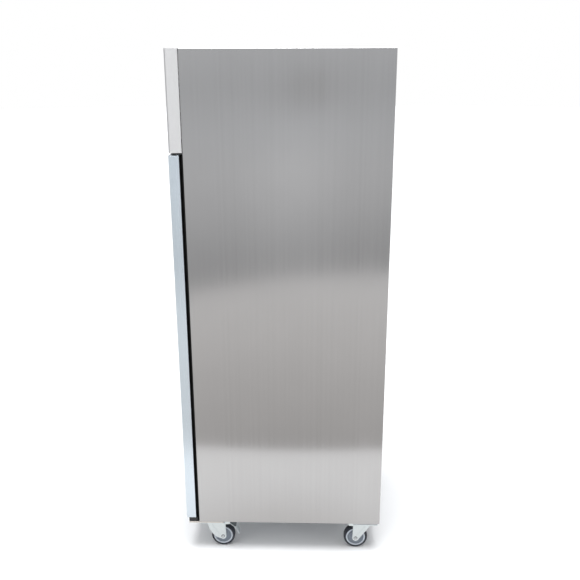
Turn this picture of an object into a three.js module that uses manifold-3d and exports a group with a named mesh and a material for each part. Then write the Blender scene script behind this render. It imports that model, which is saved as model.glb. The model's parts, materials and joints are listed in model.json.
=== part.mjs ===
// A top-mount reach-in refrigerator: one solid door under a tall header, on four swivel casters.
// Millimetres, +Z up. The door faces -Y and is hinged on the +X side.
// The origin is on the floor, under the middle of the outside box.

import * as THREE from "three";
import { mergeVertices } from "three/addons/utils/BufferGeometryUtils.js";
import Module from "manifold-3d";

const wasm = await Module();
wasm.setup();

// ---------- driving dimensions ----------

const WIDTH = 686; // over the side panels
const PANEL_DEPTH = 770; // front to rear edge of a side panel
const DOOR_PROUD = 53; // door face ahead of the side panels
const HEADER_PROUD = 50.3; // header face ahead of the side panels
const FLOOR_GAP = 143; // floor to the side panels' lower edge
const PANEL_HEIGHT = 1931; // side panel, lower to upper edge
const HEADER_HEIGHT = 365;
const DOOR_HEIGHT = 1537;
const DOOR_LIFT = 19.5; // door's lower edge above the side panels' lower edge
const DOOR_EDGE = 39.2; // steel edge of the door, front to back
const WALL = 62; // insulated wall, outside to inside
const SHEET = 1.5; // sheet metal
const GAP = 0.3; // between pieces that touch
const LIP = 20; // folded edge of a side panel
const VENT = { pitch: 22, height: 9 }; // air slots in sheet metal
const SHELF_COUNT = 3;
const SHELF_PITCH = 320;
const WHEEL_RADIUS = 51; // four-inch wheel
const CASTER_TRAIL = 40; // swivel axis to wheel axle
const CASTER_INSET = 51; // side panel to wheel middle
const WHEEL_SIDES = 24;

// ---------- positions that follow ----------

const HALF_W = WIDTH / 2;
const FACE_Y = -(PANEL_DEPTH + DOOR_PROUD) / 2;
const REAR_Y = -FACE_Y;
const FRONT_Y = FACE_Y + DOOR_PROUD;
const HEADER_Y = FRONT_Y - HEADER_PROUD;
const TOP_Z = FLOOR_GAP + PANEL_HEIGHT;
const HEADER_Z = TOP_Z - HEADER_HEIGHT;
const DOOR_Z = FLOOR_GAP + DOOR_LIFT;
const DOOR_TOP_Z = DOOR_Z + DOOR_HEIGHT;
const DECK_Z = HEADER_Z + 6; // underside of the machine deck
const CABIN = { x: HALF_W - WALL, back: REAR_Y - WALL - 4, low: 206, high: DECK_Z - 70 };
const HINGE = { x: HALF_W - 18, y: FRONT_Y - 33 };

// ---------- finishes ----------

const FINISH = {
  brushed_steel: { color: 0xb3b2b4, roughness: 0.34, metalness: 1 },
  door_steel: { color: 0xb9c3cc, roughness: 0.36, metalness: 1 },
  zinc: { color: 0xd6e0e6, roughness: 0.42, metalness: 1 },
  galvanised: { color: 0xa9adb1, roughness: 0.5, metalness: 1 },
  copper: { color: 0xb8734a, roughness: 0.35, metalness: 1 },
  aluminium: { color: 0xbfc3c6, roughness: 0.4, metalness: 1 },
  enamel: { color: 0x141416, roughness: 0.45, metalness: 0.2 },
  foam: { color: 0xe5d7a8, roughness: 0.95, metalness: 0 },
  gasket: { color: 0x111112, roughness: 0.7, metalness: 0 },
  tread: { color: 0x23262e, roughness: 0.75, metalness: 0 },
  grey_plastic: { color: 0x8c949e, roughness: 0.5, metalness: 0 },
  black_plastic: { color: 0x17181a, roughness: 0.5, metalness: 0 },
};

// ---------- geometry helpers ----------

// A box between two opposite corners.
function block([x0, y0, z0], [x1, y1, z1]) {
  const box = new THREE.BoxGeometry(x1 - x0, y1 - y0, z1 - z0);
  return box.translate((x0 + x1) / 2, (y0 + y1) / 2, (z0 + z1) / 2);
}

// An outline in X and Y, pulled up from z0 to z1.
function upright(outline, z0, z1) {
  const shape = new THREE.Shape(outline.map(([x, y]) => new THREE.Vector2(x, y)));
  const options = { depth: z1 - z0, bevelEnabled: false };
  return new THREE.ExtrudeGeometry(shape, options).translate(0, 0, z0);
}

// A shape drawn in Y and Z, pulled along X from x0 to x1.
function across(shape, x0, x1, curveSegments = 8) {
  const options = { depth: x1 - x0, bevelEnabled: false, curveSegments };
  const bar = new THREE.ExtrudeGeometry(shape, options);
  return bar.rotateX(Math.PI / 2).rotateZ(Math.PI / 2).translate(x0, 0, 0);
}

// A round rod along X, Y or Z, centred at a point.
function rod(axis, radius, length, [x, y, z], sides = 16) {
  const cylinder = new THREE.CylinderGeometry(radius, radius, length, sides);
  if (axis === "x") cylinder.rotateZ(Math.PI / 2);
  if (axis === "z") cylinder.rotateX(Math.PI / 2);
  return cylinder.translate(x, y, z);
}

// A profile of [radius, height] points turned about Z, with a flat side straight down -Y.
function turned(profile, sides) {
  const points = profile.map(([radius, height]) => new THREE.Vector2(radius, height));
  const lathe = new THREE.LatheGeometry(points, sides, Math.PI / sides);
  return lathe.rotateX(Math.PI / 2);
}

function toSolid(geometry) {
  const bare = geometry.index ? geometry.toNonIndexed() : geometry.clone();
  bare.deleteAttribute("normal");
  bare.deleteAttribute("uv");
  const welded = mergeVertices(bare, 1e-3);
  const vertProperties = welded.attributes.position.array;
  const triVerts = new Uint32Array(welded.index.array);
  return new wasm.Manifold(new wasm.Mesh({ numProp: 3, vertProperties, triVerts }));
}

function toGeometry(solid) {
  const { vertProperties, triVerts } = solid.getMesh();
  const geometry = new THREE.BufferGeometry();
  geometry.setAttribute("position", new THREE.BufferAttribute(vertProperties, 3));
  geometry.setIndex(new THREE.BufferAttribute(triVerts, 1));
  geometry.computeVertexNormals();
  return geometry;
}

function join(...pieces) {
  return toGeometry(pieces.map(toSolid).reduce((sum, piece) => sum.add(piece)));
}

function cut(body, ...tools) {
  return toGeometry(tools.map(toSolid).reduce((rest, tool) => rest.subtract(tool), toSolid(body)));
}

function addPart(parent, name, geometry, finish) {
  const mesh = new THREE.Mesh(geometry, new THREE.MeshStandardMaterial(FINISH[finish]));
  mesh.name = name;
  parent.add(mesh);
}

function addGroup(parent, x = 0, y = 0, z = 0) {
  const group = new THREE.Group();
  group.position.set(x, y, z);
  parent.add(group);
  return group;
}

// Horizontal air slots in a sheet that faces along Y, one above the other.
function slots(x0, x1, y, z0, count) {
  const reach = 10; // well through the sheet on both sides
  return Array.from({ length: count }, (_, n) => {
    const low = z0 + n * VENT.pitch;
    return block([x0, y - reach, low], [x1, y + reach, low + VENT.height]);
  });
}

// The same solid with left and right swapped.
function mirrored(geometry) {
  const flat = geometry.toNonIndexed();
  const place = flat.attributes.position;
  for (let corner = 0; corner < place.count; corner += 3) {
    const [a, b] = [corner + 1, corner + 2];
    const first = [place.getX(a), place.getY(a), place.getZ(a)];
    place.setXYZ(a, place.getX(b), place.getY(b), place.getZ(b));
    place.setXYZ(b, ...first);
  }
  for (let corner = 0; corner < place.count; corner += 1) place.setX(corner, -place.getX(corner));
  flat.computeVertexNormals();
  return flat;
}

// ---------- cabinet ----------

// A side panel is one sheet folded in at the front, the rear and the top.
function sidePanel(side) {
  const outer = HALF_W;
  const inner = HALF_W - SHEET;
  const lip = HALF_W - LIP;
  const wall = block([inner, FRONT_Y, FLOOR_GAP], [outer, REAR_Y, TOP_Z]);
  const front = block([lip, FRONT_Y, FLOOR_GAP], [outer, FRONT_Y + SHEET, TOP_Z]);
  const rear = block([lip, REAR_Y - SHEET, FLOOR_GAP], [outer, REAR_Y, TOP_Z]);
  const top = block([lip, FRONT_Y, TOP_Z - SHEET], [outer, REAR_Y, TOP_Z]);
  const panel = join(wall, front, rear, top);
  return side > 0 ? panel : mirrored(panel);
}

const PAN = { x: HALF_W - SHEET - GAP, rear: REAR_Y - SHEET - GAP, thick: 2 };
const PAD = { depth: 6, halfX: 49, halfY: 50 }; // pressed-down pads that the casters bolt to
const CASTERS = [
  { name: "front_right", x: HALF_W - CASTER_INSET, y: FRONT_Y + 56, turn: 0, braked: true },
  { name: "front_left", x: CASTER_INSET - HALF_W, y: FRONT_Y + 56, turn: 0, braked: true },
  { name: "rear_right", x: HALF_W - CASTER_INSET, y: REAR_Y - 58, turn: Math.PI, braked: false },
  { name: "rear_left", x: CASTER_INSET - HALF_W, y: REAR_Y - 58, turn: Math.PI, braked: false },
];

function casterPad({ x, y }) {
  const low = FLOOR_GAP - PAD.depth;
  const high = FLOOR_GAP + PAN.thick / 2;
  return block([x - PAD.halfX, y - PAD.halfY, low], [x + PAD.halfX, y + PAD.halfY, high]);
}

// The hinge plate takes the place of the pad at the front right, the first caster.
function basePan() {
  const floor = block([-PAN.x, FRONT_Y + SHEET + GAP, FLOOR_GAP], [PAN.x, PAN.rear, FLOOR_GAP + PAN.thick]);
  return join(floor, ...CASTERS.slice(1).map(casterPad));
}

const FOAM = { x: PAN.x, front: FRONT_Y + SHEET + GAP, back: PAN.rear, low: FLOOR_GAP + PAN.thick + GAP };
const LINER_T = 1.2;
const HOLLOW_X = CABIN.x + LINER_T + GAP;

function foamBody() {
  const body = block([-FOAM.x, FOAM.front, FOAM.low], [FOAM.x, FOAM.back, DECK_Z - GAP]);
  const hollowLow = CABIN.low - LINER_T - GAP;
  const hollowHigh = CABIN.high + LINER_T + GAP;
  const hollowBack = CABIN.back + LINER_T + GAP;
  return cut(body, block([-HOLLOW_X, FOAM.front - 1, hollowLow], [HOLLOW_X, hollowBack, hollowHigh]));
}

function liner() {
  const { x, back, low, high } = CABIN;
  const t = LINER_T;
  const shell = block([-x - t, FOAM.front, low - t], [x + t, back + t, high + t]);
  return cut(shell, block([-x, FOAM.front - 1, low], [x, back, high]));
}

// The black face frame that the door gasket closes on, ahead of the folded edges.
const FRAME = { front: FRONT_Y - 5, rear: FRONT_Y - GAP, low: FLOOR_GAP + 1, high: DOOR_TOP_Z + 0.5 };

function breakerFrame() {
  const edge = 2; // inside the side panels, and over the liner's edge
  const plate = block([edge - HALF_W, FRAME.front, FRAME.low], [HALF_W - edge, FRAME.rear, FRAME.high]);
  const opening = block(
    [edge - CABIN.x, FRAME.front - 1, CABIN.low + edge],
    [CABIN.x - edge, FRAME.rear + 1, CABIN.high - edge],
  );
  return cut(plate, opening);
}

// The rear sheets lie flush between the side panels' rear folds.
const BACK = { x: HALF_W - LIP - GAP, front: REAR_Y - SHEET, high: DECK_Z - GAP };
const REAR_VENT = { inner: 40, outer: 290, low: DECK_Z + 110, count: 9 };
const INLET = { x: -236, z: DECK_Z + 50, halfW: 24, halfH: 16, depth: 26 };

function rearGrille() {
  const sheet = block([-BACK.x, BACK.front, DECK_Z + SHEET + GAP], [BACK.x, REAR_Y, TOP_Z - 3]);
  const { inner, outer, low, count } = REAR_VENT;
  const left = slots(-outer, -inner, BACK.front, low, count);
  const right = slots(inner, outer, BACK.front, low, count);
  const { x, z, halfW, halfH } = INLET;
  const inletHole = block([x - halfW, BACK.front - 1, z - halfH], [x + halfW, REAR_Y + 1, z + halfH]);
  return cut(sheet, ...left, ...right, inletHole);
}

function powerInlet() {
  const { x, z, halfW, halfH, depth } = INLET;
  const body = block([x - halfW + 1, REAR_Y - depth, z - halfH + 1], [x + halfW - 1, REAR_Y, z + halfH - 1]);
  const wall = 8;
  const socket = block(
    [x - halfW + wall, REAR_Y - depth + wall, z - halfH + wall - 2],
    [x + halfW - wall, REAR_Y + 1, z + halfH - wall + 2],
  );
  return cut(body, socket);
}

function addCabinet(parent) {
  addPart(parent, "side_panel_right", sidePanel(1), "brushed_steel");
  addPart(parent, "side_panel_left", sidePanel(-1), "brushed_steel");
  const backSheet = block([-BACK.x, BACK.front, FLOOR_GAP], [BACK.x, REAR_Y, BACK.high]);
  addPart(parent, "back_panel", backSheet, "galvanised");
  addPart(parent, "rear_grille", rearGrille(), "galvanised");
  addPart(parent, "power_inlet", powerInlet(), "black_plastic");
  addPart(parent, "base_pan", basePan(), "galvanised");
  addPart(parent, "foam_body", foamBody(), "foam");
  addPart(parent, "liner", liner(), "brushed_steel");
  addPart(parent, "breaker_frame", breakerFrame(), "gasket");
  const deck = block([-PAN.x, FOAM.front, DECK_Z], [PAN.x, PAN.rear, DECK_Z + SHEET]);
  addPart(parent, "machine_deck", deck, "galvanised");
}

// ---------- header and controls ----------

const CONTROL = { x: -230, z: TOP_Z - 178, halfW: 90, halfH: 34, front: FACE_Y + 0.3 };
const BUTTON = { radius: 7, front: FACE_Y + 0.1, length: 11, z: CONTROL.z - 8 };
const DISPLAY = { x0: CONTROL.x - 72, x1: CONTROL.x + 4, halfH: 18, depth: 1.2 };
const BUTTONS = [
  { name: "button_up", x: CONTROL.x + 24 },
  { name: "button_down", x: CONTROL.x + 44 },
  { name: "button_set", x: CONTROL.x + 64 },
];
const SWITCH = { x: -96, z: CONTROL.z, halfW: 9, halfH: 14, tilt: -Math.PI / 18 };
const HEADER = { x: HALF_W - 0.5, rear: FRONT_Y - 1.8, floorRear: FRONT_Y - 7 };
const INTAKE = { x0: -30, x1: 310, low: HEADER_Z + 62, count: 11 };

// A rectangular hole through the header's face, about a middle in X and Z.
function faceHole({ x, z }, halfW, halfH) {
  return block([x - halfW, HEADER_Y - 1, z - halfH], [x + halfW, HEADER_Y + 5, z + halfH]);
}

// A shell open at the rear, with a seam to the side panels and a floor that stops at the top hinge.
function headerPanel() {
  const { x, rear, floorRear } = HEADER;
  const shell = block([-x, HEADER_Y, HEADER_Z], [x, rear, TOP_Z]);
  const inside = block(
    [SHEET - x, HEADER_Y + SHEET, HEADER_Z + SHEET],
    [x - SHEET, rear + 1, TOP_Z - SHEET],
  );
  const shortFloor = block([-x - 1, floorRear, HEADER_Z - 1], [x + 1, rear + 1, HEADER_Z + SHEET + 1]);
  const vents = slots(INTAKE.x0, INTAKE.x1, HEADER_Y, INTAKE.low, INTAKE.count);
  const panelHole = faceHole(CONTROL, CONTROL.halfW - 4, CONTROL.halfH - 4);
  const switchHole = faceHole(SWITCH, SWITCH.halfW + 4, SWITCH.halfH + 4);
  return cut(shell, inside, shortFloor, ...vents, panelHole, switchHole);
}

// A thin flange lies on the header and a shallow box stands behind it.
function controllerBezel() {
  const { x, z, halfW, halfH, front } = CONTROL;
  const inset = 5;
  const flange = block([x - halfW, front, z - halfH], [x + halfW, HEADER_Y - GAP, z + halfH]);
  const box = block(
    [x - halfW + inset, front, z - halfH + inset],
    [x + halfW - inset, HEADER_Y + 22, z + halfH - inset],
  );
  const wells = BUTTONS.map((button) => rod("y", BUTTON.radius + 0.5, 15, [button.x, front + 7.4, BUTTON.z]));
  const window = block(
    [DISPLAY.x0, front - 1, z - DISPLAY.halfH],
    [DISPLAY.x1, front + DISPLAY.depth, z + DISPLAY.halfH],
  );
  return cut(join(flange, box), ...wells, window);
}

function addHeader(parent) {
  addPart(parent, "header_panel", headerPanel(), "brushed_steel");
  addPart(parent, "controller_bezel", controllerBezel(), "black_plastic");
  for (const { name, x } of BUTTONS) {
    const place = [x, BUTTON.front + BUTTON.length / 2, BUTTON.z];
    addPart(parent, name, rod("y", BUTTON.radius, BUTTON.length, place), "grey_plastic");
  }
  const rocker = addGroup(parent, SWITCH.x, HEADER_Y + 3, SWITCH.z);
  rocker.rotation.x = SWITCH.tilt;
  const cap = block([-SWITCH.halfW, -3.1, -SWITCH.halfH], [SWITCH.halfW, 9, SWITCH.halfH]);
  addPart(rocker, "power_switch", cap, "black_plastic");
}

// ---------- cabin fittings ----------

const PILASTERS = { front: -290, rear: 282 }; // middles, from front to back
const PILASTER = { half: 10, depth: 12, sheet: 2, low: CABIN.low + 30, high: CABIN.high - 250 };
const SHELF = { x: CABIN.x - 17, front: -335, back: 312, wire: 5, columns: 10, low: CABIN.low + 294 };
const CLIP = { reach: 16, drop: 3, half: 7 };

function shelfBottom(n) {
  return SHELF.low + n * SHELF_PITCH;
}

// A channel that opens to the wall, with one clip below each shelf.
function pilaster(side, y) {
  const { half, depth, sheet, low, high } = PILASTER;
  const wall = CABIN.x - GAP;
  const face = wall - depth;
  const outline = [
    [wall, y - half],
    [wall, y + half],
    [face, y + half],
    [face, y - half],
  ];
  const groove = block([face + sheet, y - half + sheet, low - 1], [wall + 1, y + half - sheet, high + 1]);
  const clips = Array.from({ length: SHELF_COUNT }, (_, n) => {
    const top = shelfBottom(n) - GAP;
    return block([face - CLIP.reach, y - CLIP.half, top - CLIP.drop], [face + 1, y + CLIP.half, top]);
  });
  const piece = join(cut(upright(outline, low, high), groove), ...clips);
  return side > 0 ? piece : mirrored(piece);
}

// A wire shelf: a rim, one cross wire and long wires running front to back.
function shelf(n) {
  const { x, front, back, wire, columns } = SHELF;
  const pitch = (2 * x - wire) / columns;
  const middle = (front + back) / 2;
  const low = shelfBottom(n);
  const high = low + wire;
  const spans = [
    [front + wire, middle - wire / 2],
    [middle + wire / 2, back - wire],
  ];
  const holes = [];
  for (let column = 0; column < columns; column += 1) {
    const left = -x + wire + column * pitch;
    for (const [near, far] of spans) {
      holes.push(block([left, near, low - 1], [left + pitch - wire, far, high + 1]));
    }
  }
  return cut(block([-x, front, low], [x, back, high]), ...holes);
}

const EVAPORATOR = {
  x: 236,
  front: -110,
  back: 330,
  low: CABIN.high - 168,
  fanZ: CABIN.high - 86,
  fanR: 66,
};

function evaporatorCover() {
  const { x, front, back, low, fanZ, fanR } = EVAPORATOR;
  const top = CABIN.high - GAP;
  const shell = block([-x, front, low], [x, back, top]);
  const inside = block([SHEET - x, front + SHEET, low + SHEET], [x - SHEET, back + 1, top + 1]);
  const mouth = rod("y", fanR, 20, [0, front, fanZ], 24);
  return cut(shell, inside, mouth);
}

// A finned block between two end plates that carry the tube bends.
const COIL = { bend: 11, plate: 3, tube: 8, firstTube: 18, tubePitch: 52 };

function finnedCoil([x0, y0, z0], [x1, y1, z1]) {
  const { bend, plate, tube, firstTube, tubePitch } = COIL;
  const fins = block([x0 + bend + 1, y0, z0], [x1 - bend - 1, y1, z1]);
  const endPlate = (x) => block([x, y0 - plate, z0 - plate], [x + plate, y1 + plate, z1 + plate]);
  const plates = [endPlate(x0 + bend - 1), endPlate(x1 - bend + 1 - plate)];
  const bends = [];
  for (let z = z0 + firstTube; z < z1 - tube - firstTube; z += tubePitch) {
    for (const x of [x0, x1 - bend]) bends.push(block([x, y0 + 6, z], [x + bend, y1 - 6, z + tube]));
  }
  return join(fins, ...plates, ...bends);
}

// A motor can on a three-armed bracket; the arms reach out to armR.
function fanMotor(radius, length, armR) {
  const can = rod("y", radius, length, [0, 0, 0]);
  const arms = [0, 1, 2].map((n) => {
    const arm = block([-5, length / 2 - 5, 0], [5, length / 2 - 2, armR]);
    return arm.rotateY((n * 2 * Math.PI) / 3);
  });
  return join(can, ...arms);
}

const BLADE = { count: 5, thick: 2, pitch: 0.45, rootWidth: 0.55, tipWidth: 0.36, shoulder: 0.86 };

// A hub with pitched blades, spinning about Y. Blade widths are shares of the hub's and the tip's radius.
function fanBlades(hubR, tipR, depth) {
  const { count, thick, pitch, rootWidth, tipWidth, shoulder } = BLADE;
  const hub = rod("y", hubR, depth, [0, 0, 0]);
  const [halfRoot, halfTip, root] = [hubR * rootWidth, tipR * tipWidth, hubR * 0.6];
  const outline = new THREE.Shape([
    new THREE.Vector2(-halfRoot, root),
    new THREE.Vector2(halfRoot, root),
    new THREE.Vector2(halfTip, tipR * shoulder),
    new THREE.Vector2(0, tipR),
    new THREE.Vector2(-halfTip, tipR * shoulder),
  ]);
  const blades = Array.from({ length: count }, (_, n) => {
    const sheet = new THREE.ExtrudeGeometry(outline, { depth: thick, bevelEnabled: false });
    sheet.translate(0, 0, -thick / 2).rotateX(Math.PI / 2).rotateZ(pitch);
    return sheet.rotateY((n * 2 * Math.PI) / count);
  });
  return join(hub, ...blades);
}

function addCabin(parent) {
  const { x, front, back, low, fanZ, fanR } = EVAPORATOR;
  addPart(parent, "evaporator_cover", evaporatorCover(), "aluminium");
  const coil = finnedCoil([-x + 30, 90, low + 22], [x - 30, back - 40, CABIN.high - 22]);
  addPart(parent, "evaporator_coil", coil, "aluminium");
  const fan = addGroup(parent, 0, front + 14, fanZ);
  addPart(fan, "evaporator_fan", fanBlades(17, fanR - 4, 18), "black_plastic");
  const motor = addGroup(parent, 0, front + 44, fanZ);
  addPart(motor, "evaporator_motor", fanMotor(23, 38, fanR + 8), "galvanised");
  for (const [place, y] of Object.entries(PILASTERS)) {
    addPart(parent, `pilaster_${place}_right`, pilaster(1, y), "brushed_steel");
    addPart(parent, `pilaster_${place}_left`, pilaster(-1, y), "brushed_steel");
  }
  for (let n = 0; n < SHELF_COUNT; n += 1) addPart(parent, `shelf_${n + 1}`, shelf(n), "zinc");
}

// ---------- machine compartment ----------

const MACHINE_Z = DECK_Z + SHEET + GAP;
const COMPRESSOR = { x: -190, y: 90, radius: 78, lift: 14, footX: 92, footY: 62, foot: 6 };
const CONDENSER = { x: 130, halfW: 180, front: -325, depth: 62, height: 290, fanR: 118 };
const DUCT = { depth: 40, wall: 4, throat: CONDENSER.fanR + 6 };
const FAN_LINE = { duct: 6, blades: 36, motor: 92 }; // behind the condenser coil

// A domed can that stands on a foot plate by a short pedestal.
function compressor() {
  const { radius, lift, footX, footY, foot } = COMPRESSOR;
  const profile = [
    [0, 0],
    [radius - 12, 0],
    [radius, 12],
    [radius, 88],
    [radius - 8, 132],
    [radius - 30, 158],
    [0, 168],
  ];
  const shell = turned(profile, 20).translate(0, 0, lift);
  const feet = block([-footX, -footY, 0], [footX, footY, foot]);
  const pedestal = rod("z", 40, lift + 2, [0, 0, lift / 2 + 3], 12);
  return join(shell, feet, pedestal);
}

// A square duct plate with a round throat, in front of the blades.
function condenserShroud() {
  const { halfW, height } = CONDENSER;
  const { depth, wall, throat } = DUCT;
  const plate = block([-halfW, 0, 0], [halfW, depth, height]);
  const mouth = rod("y", throat, depth + 20, [0, depth / 2, height / 2], 24);
  const duct = block([wall - halfW, -1, wall], [halfW - wall, depth - wall, height - wall]);
  return cut(plate, mouth, duct);
}

// The motor stands on the deck by a post under its can.
function condenserMotor() {
  const floor = -CONDENSER.height / 2;
  const can = rod("y", 42, 70, [0, 0, 0]);
  const post = block([-9, -6, floor], [9, 6, -30]);
  const foot = block([-40, -25, floor], [40, 25, floor + 4]);
  return join(can, post, foot);
}

// The liquid line rises from its filter drier and runs forward to the condenser's side.
function filterDrier() {
  const path = new THREE.CatmullRomCurve3([
    new THREE.Vector3(0, 0, 0),
    new THREE.Vector3(0, 0, 60),
    new THREE.Vector3(30, -20, 100),
    new THREE.Vector3(80, -60, 100),
    new THREE.Vector3(110, -130, 70),
    new THREE.Vector3(110, -190, 60),
  ]);
  const section = new THREE.Shape().absarc(0, 0, 4, 0, 2 * Math.PI);
  const options = { steps: 16, extrudePath: path, bevelEnabled: false, curveSegments: 4 };
  const line = new THREE.ExtrudeGeometry(section, options);
  const can = rod("z", 13, 64, [0, 0, 30], 12);
  return join(line, can);
}

function addMachine(parent) {
  const shell = addGroup(parent, COMPRESSOR.x, COMPRESSOR.y, MACHINE_Z);
  addPart(shell, "compressor", compressor(), "enamel");
  const { x, halfW, front, depth, height, fanR } = CONDENSER;
  const coil = finnedCoil([x - halfW, front, MACHINE_Z + 6], [x + halfW, front + depth, MACHINE_Z + height]);
  addPart(parent, "condenser_coil", coil, "aluminium");
  const coilRear = front + depth;
  const shroud = addGroup(parent, x, coilRear + FAN_LINE.duct, MACHINE_Z);
  addPart(shroud, "condenser_shroud", condenserShroud(), "galvanised");
  const fanMiddle = MACHINE_Z + height / 2;
  const fan = addGroup(parent, x, coilRear + FAN_LINE.blades, fanMiddle);
  addPart(fan, "condenser_fan", fanBlades(26, fanR, 30), "aluminium");
  const motor = addGroup(parent, x, coilRear + FAN_LINE.motor, fanMiddle);
  addPart(motor, "condenser_motor", condenserMotor(), "enamel");
  const boxLow = [-332, -290, MACHINE_Z];
  const boxHigh = [-150, -120, MACHINE_Z + 120];
  addPart(parent, "electrical_box", block(boxLow, boxHigh), "galvanised");
  const drier = addGroup(parent, -70, 90, MACHINE_Z + 4);
  addPart(drier, "filter_drier", filterDrier(), "copper");
}

// ---------- door ----------

const DOOR_X = HALF_W - 1.5;
const DOOR_REAR = FACE_Y + DOOR_EDGE;
const GRIP = { x0: -332, x1: -286, z0: 905, z1: 1105, depth: 25, wall: 2.5 };
const LOCK = { x: -309, z: 1180, radius: 9, length: 24 };
const TRAY = { x: CABIN.x - 16, low: CABIN.low + 16, high: CABIN.high - 16, depth: 20 };
const SEAL = {
  outer: HINGE.x + 5,
  width: 26,
  front: DOOR_REAR + GAP,
  rear: FRAME.front - 0.8,
  low: DOOR_Z + 14,
  high: DOOR_TOP_Z - 14,
};
const PIN = { radius: 6, bore: 6.5, depth: 24 };

function pinBore(z) {
  return rod("z", PIN.bore, 2 * PIN.depth, [HINGE.x, HINGE.y, z]);
}

// The outer skin: a face with four folded edges, open at the rear.
function doorSkin() {
  const shell = block([-DOOR_X, FACE_Y, DOOR_Z], [DOOR_X, DOOR_REAR, DOOR_TOP_Z]);
  const inside = block(
    [SHEET - DOOR_X, FACE_Y + SHEET, DOOR_Z + SHEET],
    [DOOR_X - SHEET, DOOR_REAR + 1, DOOR_TOP_Z - SHEET],
  );
  const grip = block([GRIP.x0, FACE_Y - 1, GRIP.z0], [GRIP.x1, FACE_Y + 5, GRIP.z1]);
  const lock = rod("y", LOCK.radius + GAP, 20, [LOCK.x, FACE_Y, LOCK.z]);
  return cut(shell, inside, grip, lock, pinBore(DOOR_Z), pinBore(DOOR_TOP_Z));
}

// The foam fills the door and the raised tray behind it.
function doorFoam() {
  const skin = SHEET + GAP;
  const rear = DOOR_REAR - SHEET - GAP;
  const core = block([skin - DOOR_X, FACE_Y + skin, DOOR_Z + skin], [DOOR_X - skin, rear, DOOR_TOP_Z - skin]);
  const wall = LINER_T + GAP;
  const plug = block(
    [wall - TRAY.x, rear - 1, TRAY.low + wall],
    [TRAY.x - wall, DOOR_REAR + TRAY.depth - wall, TRAY.high - wall],
  );
  const grip = block(
    [GRIP.x0 - GAP, FACE_Y, GRIP.z0 - GAP],
    [GRIP.x1 + GAP, FACE_Y + GRIP.depth + GAP, GRIP.z1 + GAP],
  );
  const lock = rod("y", LOCK.radius + 1, 2 * LOCK.length + 4, [LOCK.x, FACE_Y, LOCK.z]);
  return cut(join(core, plug), grip, lock, pinBore(DOOR_Z), pinBore(DOOR_TOP_Z));
}

// The inner panel closes the skin, and its raised tray stands in the cabin's mouth.
function doorLiner() {
  const edge = SHEET + GAP;
  const front = DOOR_REAR - SHEET;
  const sheet = block([edge - DOOR_X, front, DOOR_Z + edge], [DOOR_X - edge, DOOR_REAR, DOOR_TOP_Z - edge]);
  const tray = block([-TRAY.x, front, TRAY.low], [TRAY.x, DOOR_REAR + TRAY.depth, TRAY.high]);
  const hollow = block(
    [LINER_T - TRAY.x, front - 1, TRAY.low + LINER_T],
    [TRAY.x - LINER_T, DOOR_REAR + TRAY.depth - LINER_T, TRAY.high - LINER_T],
  );
  return cut(join(sheet, tray), hollow);
}

function doorGasket() {
  const { outer, width, front, rear, low, high } = SEAL;
  const frame = block([-outer, front, low], [outer, rear, high]);
  const hole = block([width - outer, front - 1, low + width], [outer - width, rear + 1, high - width]);
  return cut(frame, hole);
}

function handleCup() {
  const { x0, x1, z0, z1, depth, wall } = GRIP;
  const cup = block([x0 + GAP, FACE_Y, z0 + GAP], [x1 - GAP, FACE_Y + depth, z1 - GAP]);
  const finger = block([x0 + wall, FACE_Y - 1, z0 + wall], [x1 - wall, FACE_Y + depth - wall, z1 - wall]);
  return cut(cup, finger);
}

function addDoor(parent) {
  addPart(parent, "door_skin", doorSkin(), "door_steel");
  addPart(parent, "door_foam", doorFoam(), "foam");
  addPart(parent, "door_liner", doorLiner(), "brushed_steel");
  addPart(parent, "door_gasket", doorGasket(), "gasket");
  addPart(parent, "handle_cup", handleCup(), "black_plastic");
  const barrel = rod("y", LOCK.radius, LOCK.length, [LOCK.x, FACE_Y + LOCK.length / 2, LOCK.z]);
  const keyway = block([LOCK.x - 1, FACE_Y - 1, LOCK.z - 4], [LOCK.x + 1, FACE_Y + 8, LOCK.z + 4]);
  addPart(parent, "lock_cylinder", cut(barrel, keyway), "zinc");
}

// ---------- door hinges ----------

const HINGE_FRONT = FRONT_Y - 44; // front edge of both hinge plates

// The lower plate bolts up under the base and carries the pin and a bush.
function lowerHinge() {
  const top = FLOOR_GAP - GAP;
  const low = FLOOR_GAP - PAD.depth;
  const rear = FRONT_Y + 103;
  const plate = block([HALF_W - 30, HINGE_FRONT, low], [HALF_W, rear, top]);
  const pad = block([HALF_W - 101, FRONT_Y + 5, low], [HALF_W - 20, rear, top]);
  const bush = rod("z", 10, 15, [HINGE.x, HINGE.y, top + 6]);
  const pin = rod("z", PIN.radius, 44, [HINGE.x, HINGE.y, top + 20]);
  return join(plate, pad, bush, pin);
}

// The upper plate lies in the gap under the header, with a leg up inside it.
function upperHinge() {
  const low = DOOR_TOP_Z + 3;
  const [left, right] = [HALF_W - 44, HALF_W - 4];
  const rear = FRONT_Y - GAP;
  const plate = block([left, HINGE_FRONT, low], [right, rear, low + 4]);
  const leg = block([left, rear - 3.7, low], [right, rear, low + 56]);
  const pin = rod("z", PIN.radius, 24, [HINGE.x, HINGE.y, low - 11]);
  return join(plate, leg, pin);
}

function addHinges(parent) {
  addPart(parent, "hinge_bracket_bottom", lowerHinge(), "brushed_steel");
  addPart(parent, "hinge_bracket_top", upperHinge(), "zinc");
}

// ---------- casters ----------

const PLATE = { top: FLOOR_GAP - PAD.depth - GAP, thick: 3.5, halfX: 50, halfY: 52, raceR: 30 };
const CROWN = { top: 124.7, thick: 3.5 };
const FORK = { inner: 20, outer: 23, tip: 14 };
const TYRE = { radius: WHEEL_RADIUS / Math.cos(Math.PI / WHEEL_SIDES), half: 15, bore: 41.15 };

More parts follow.
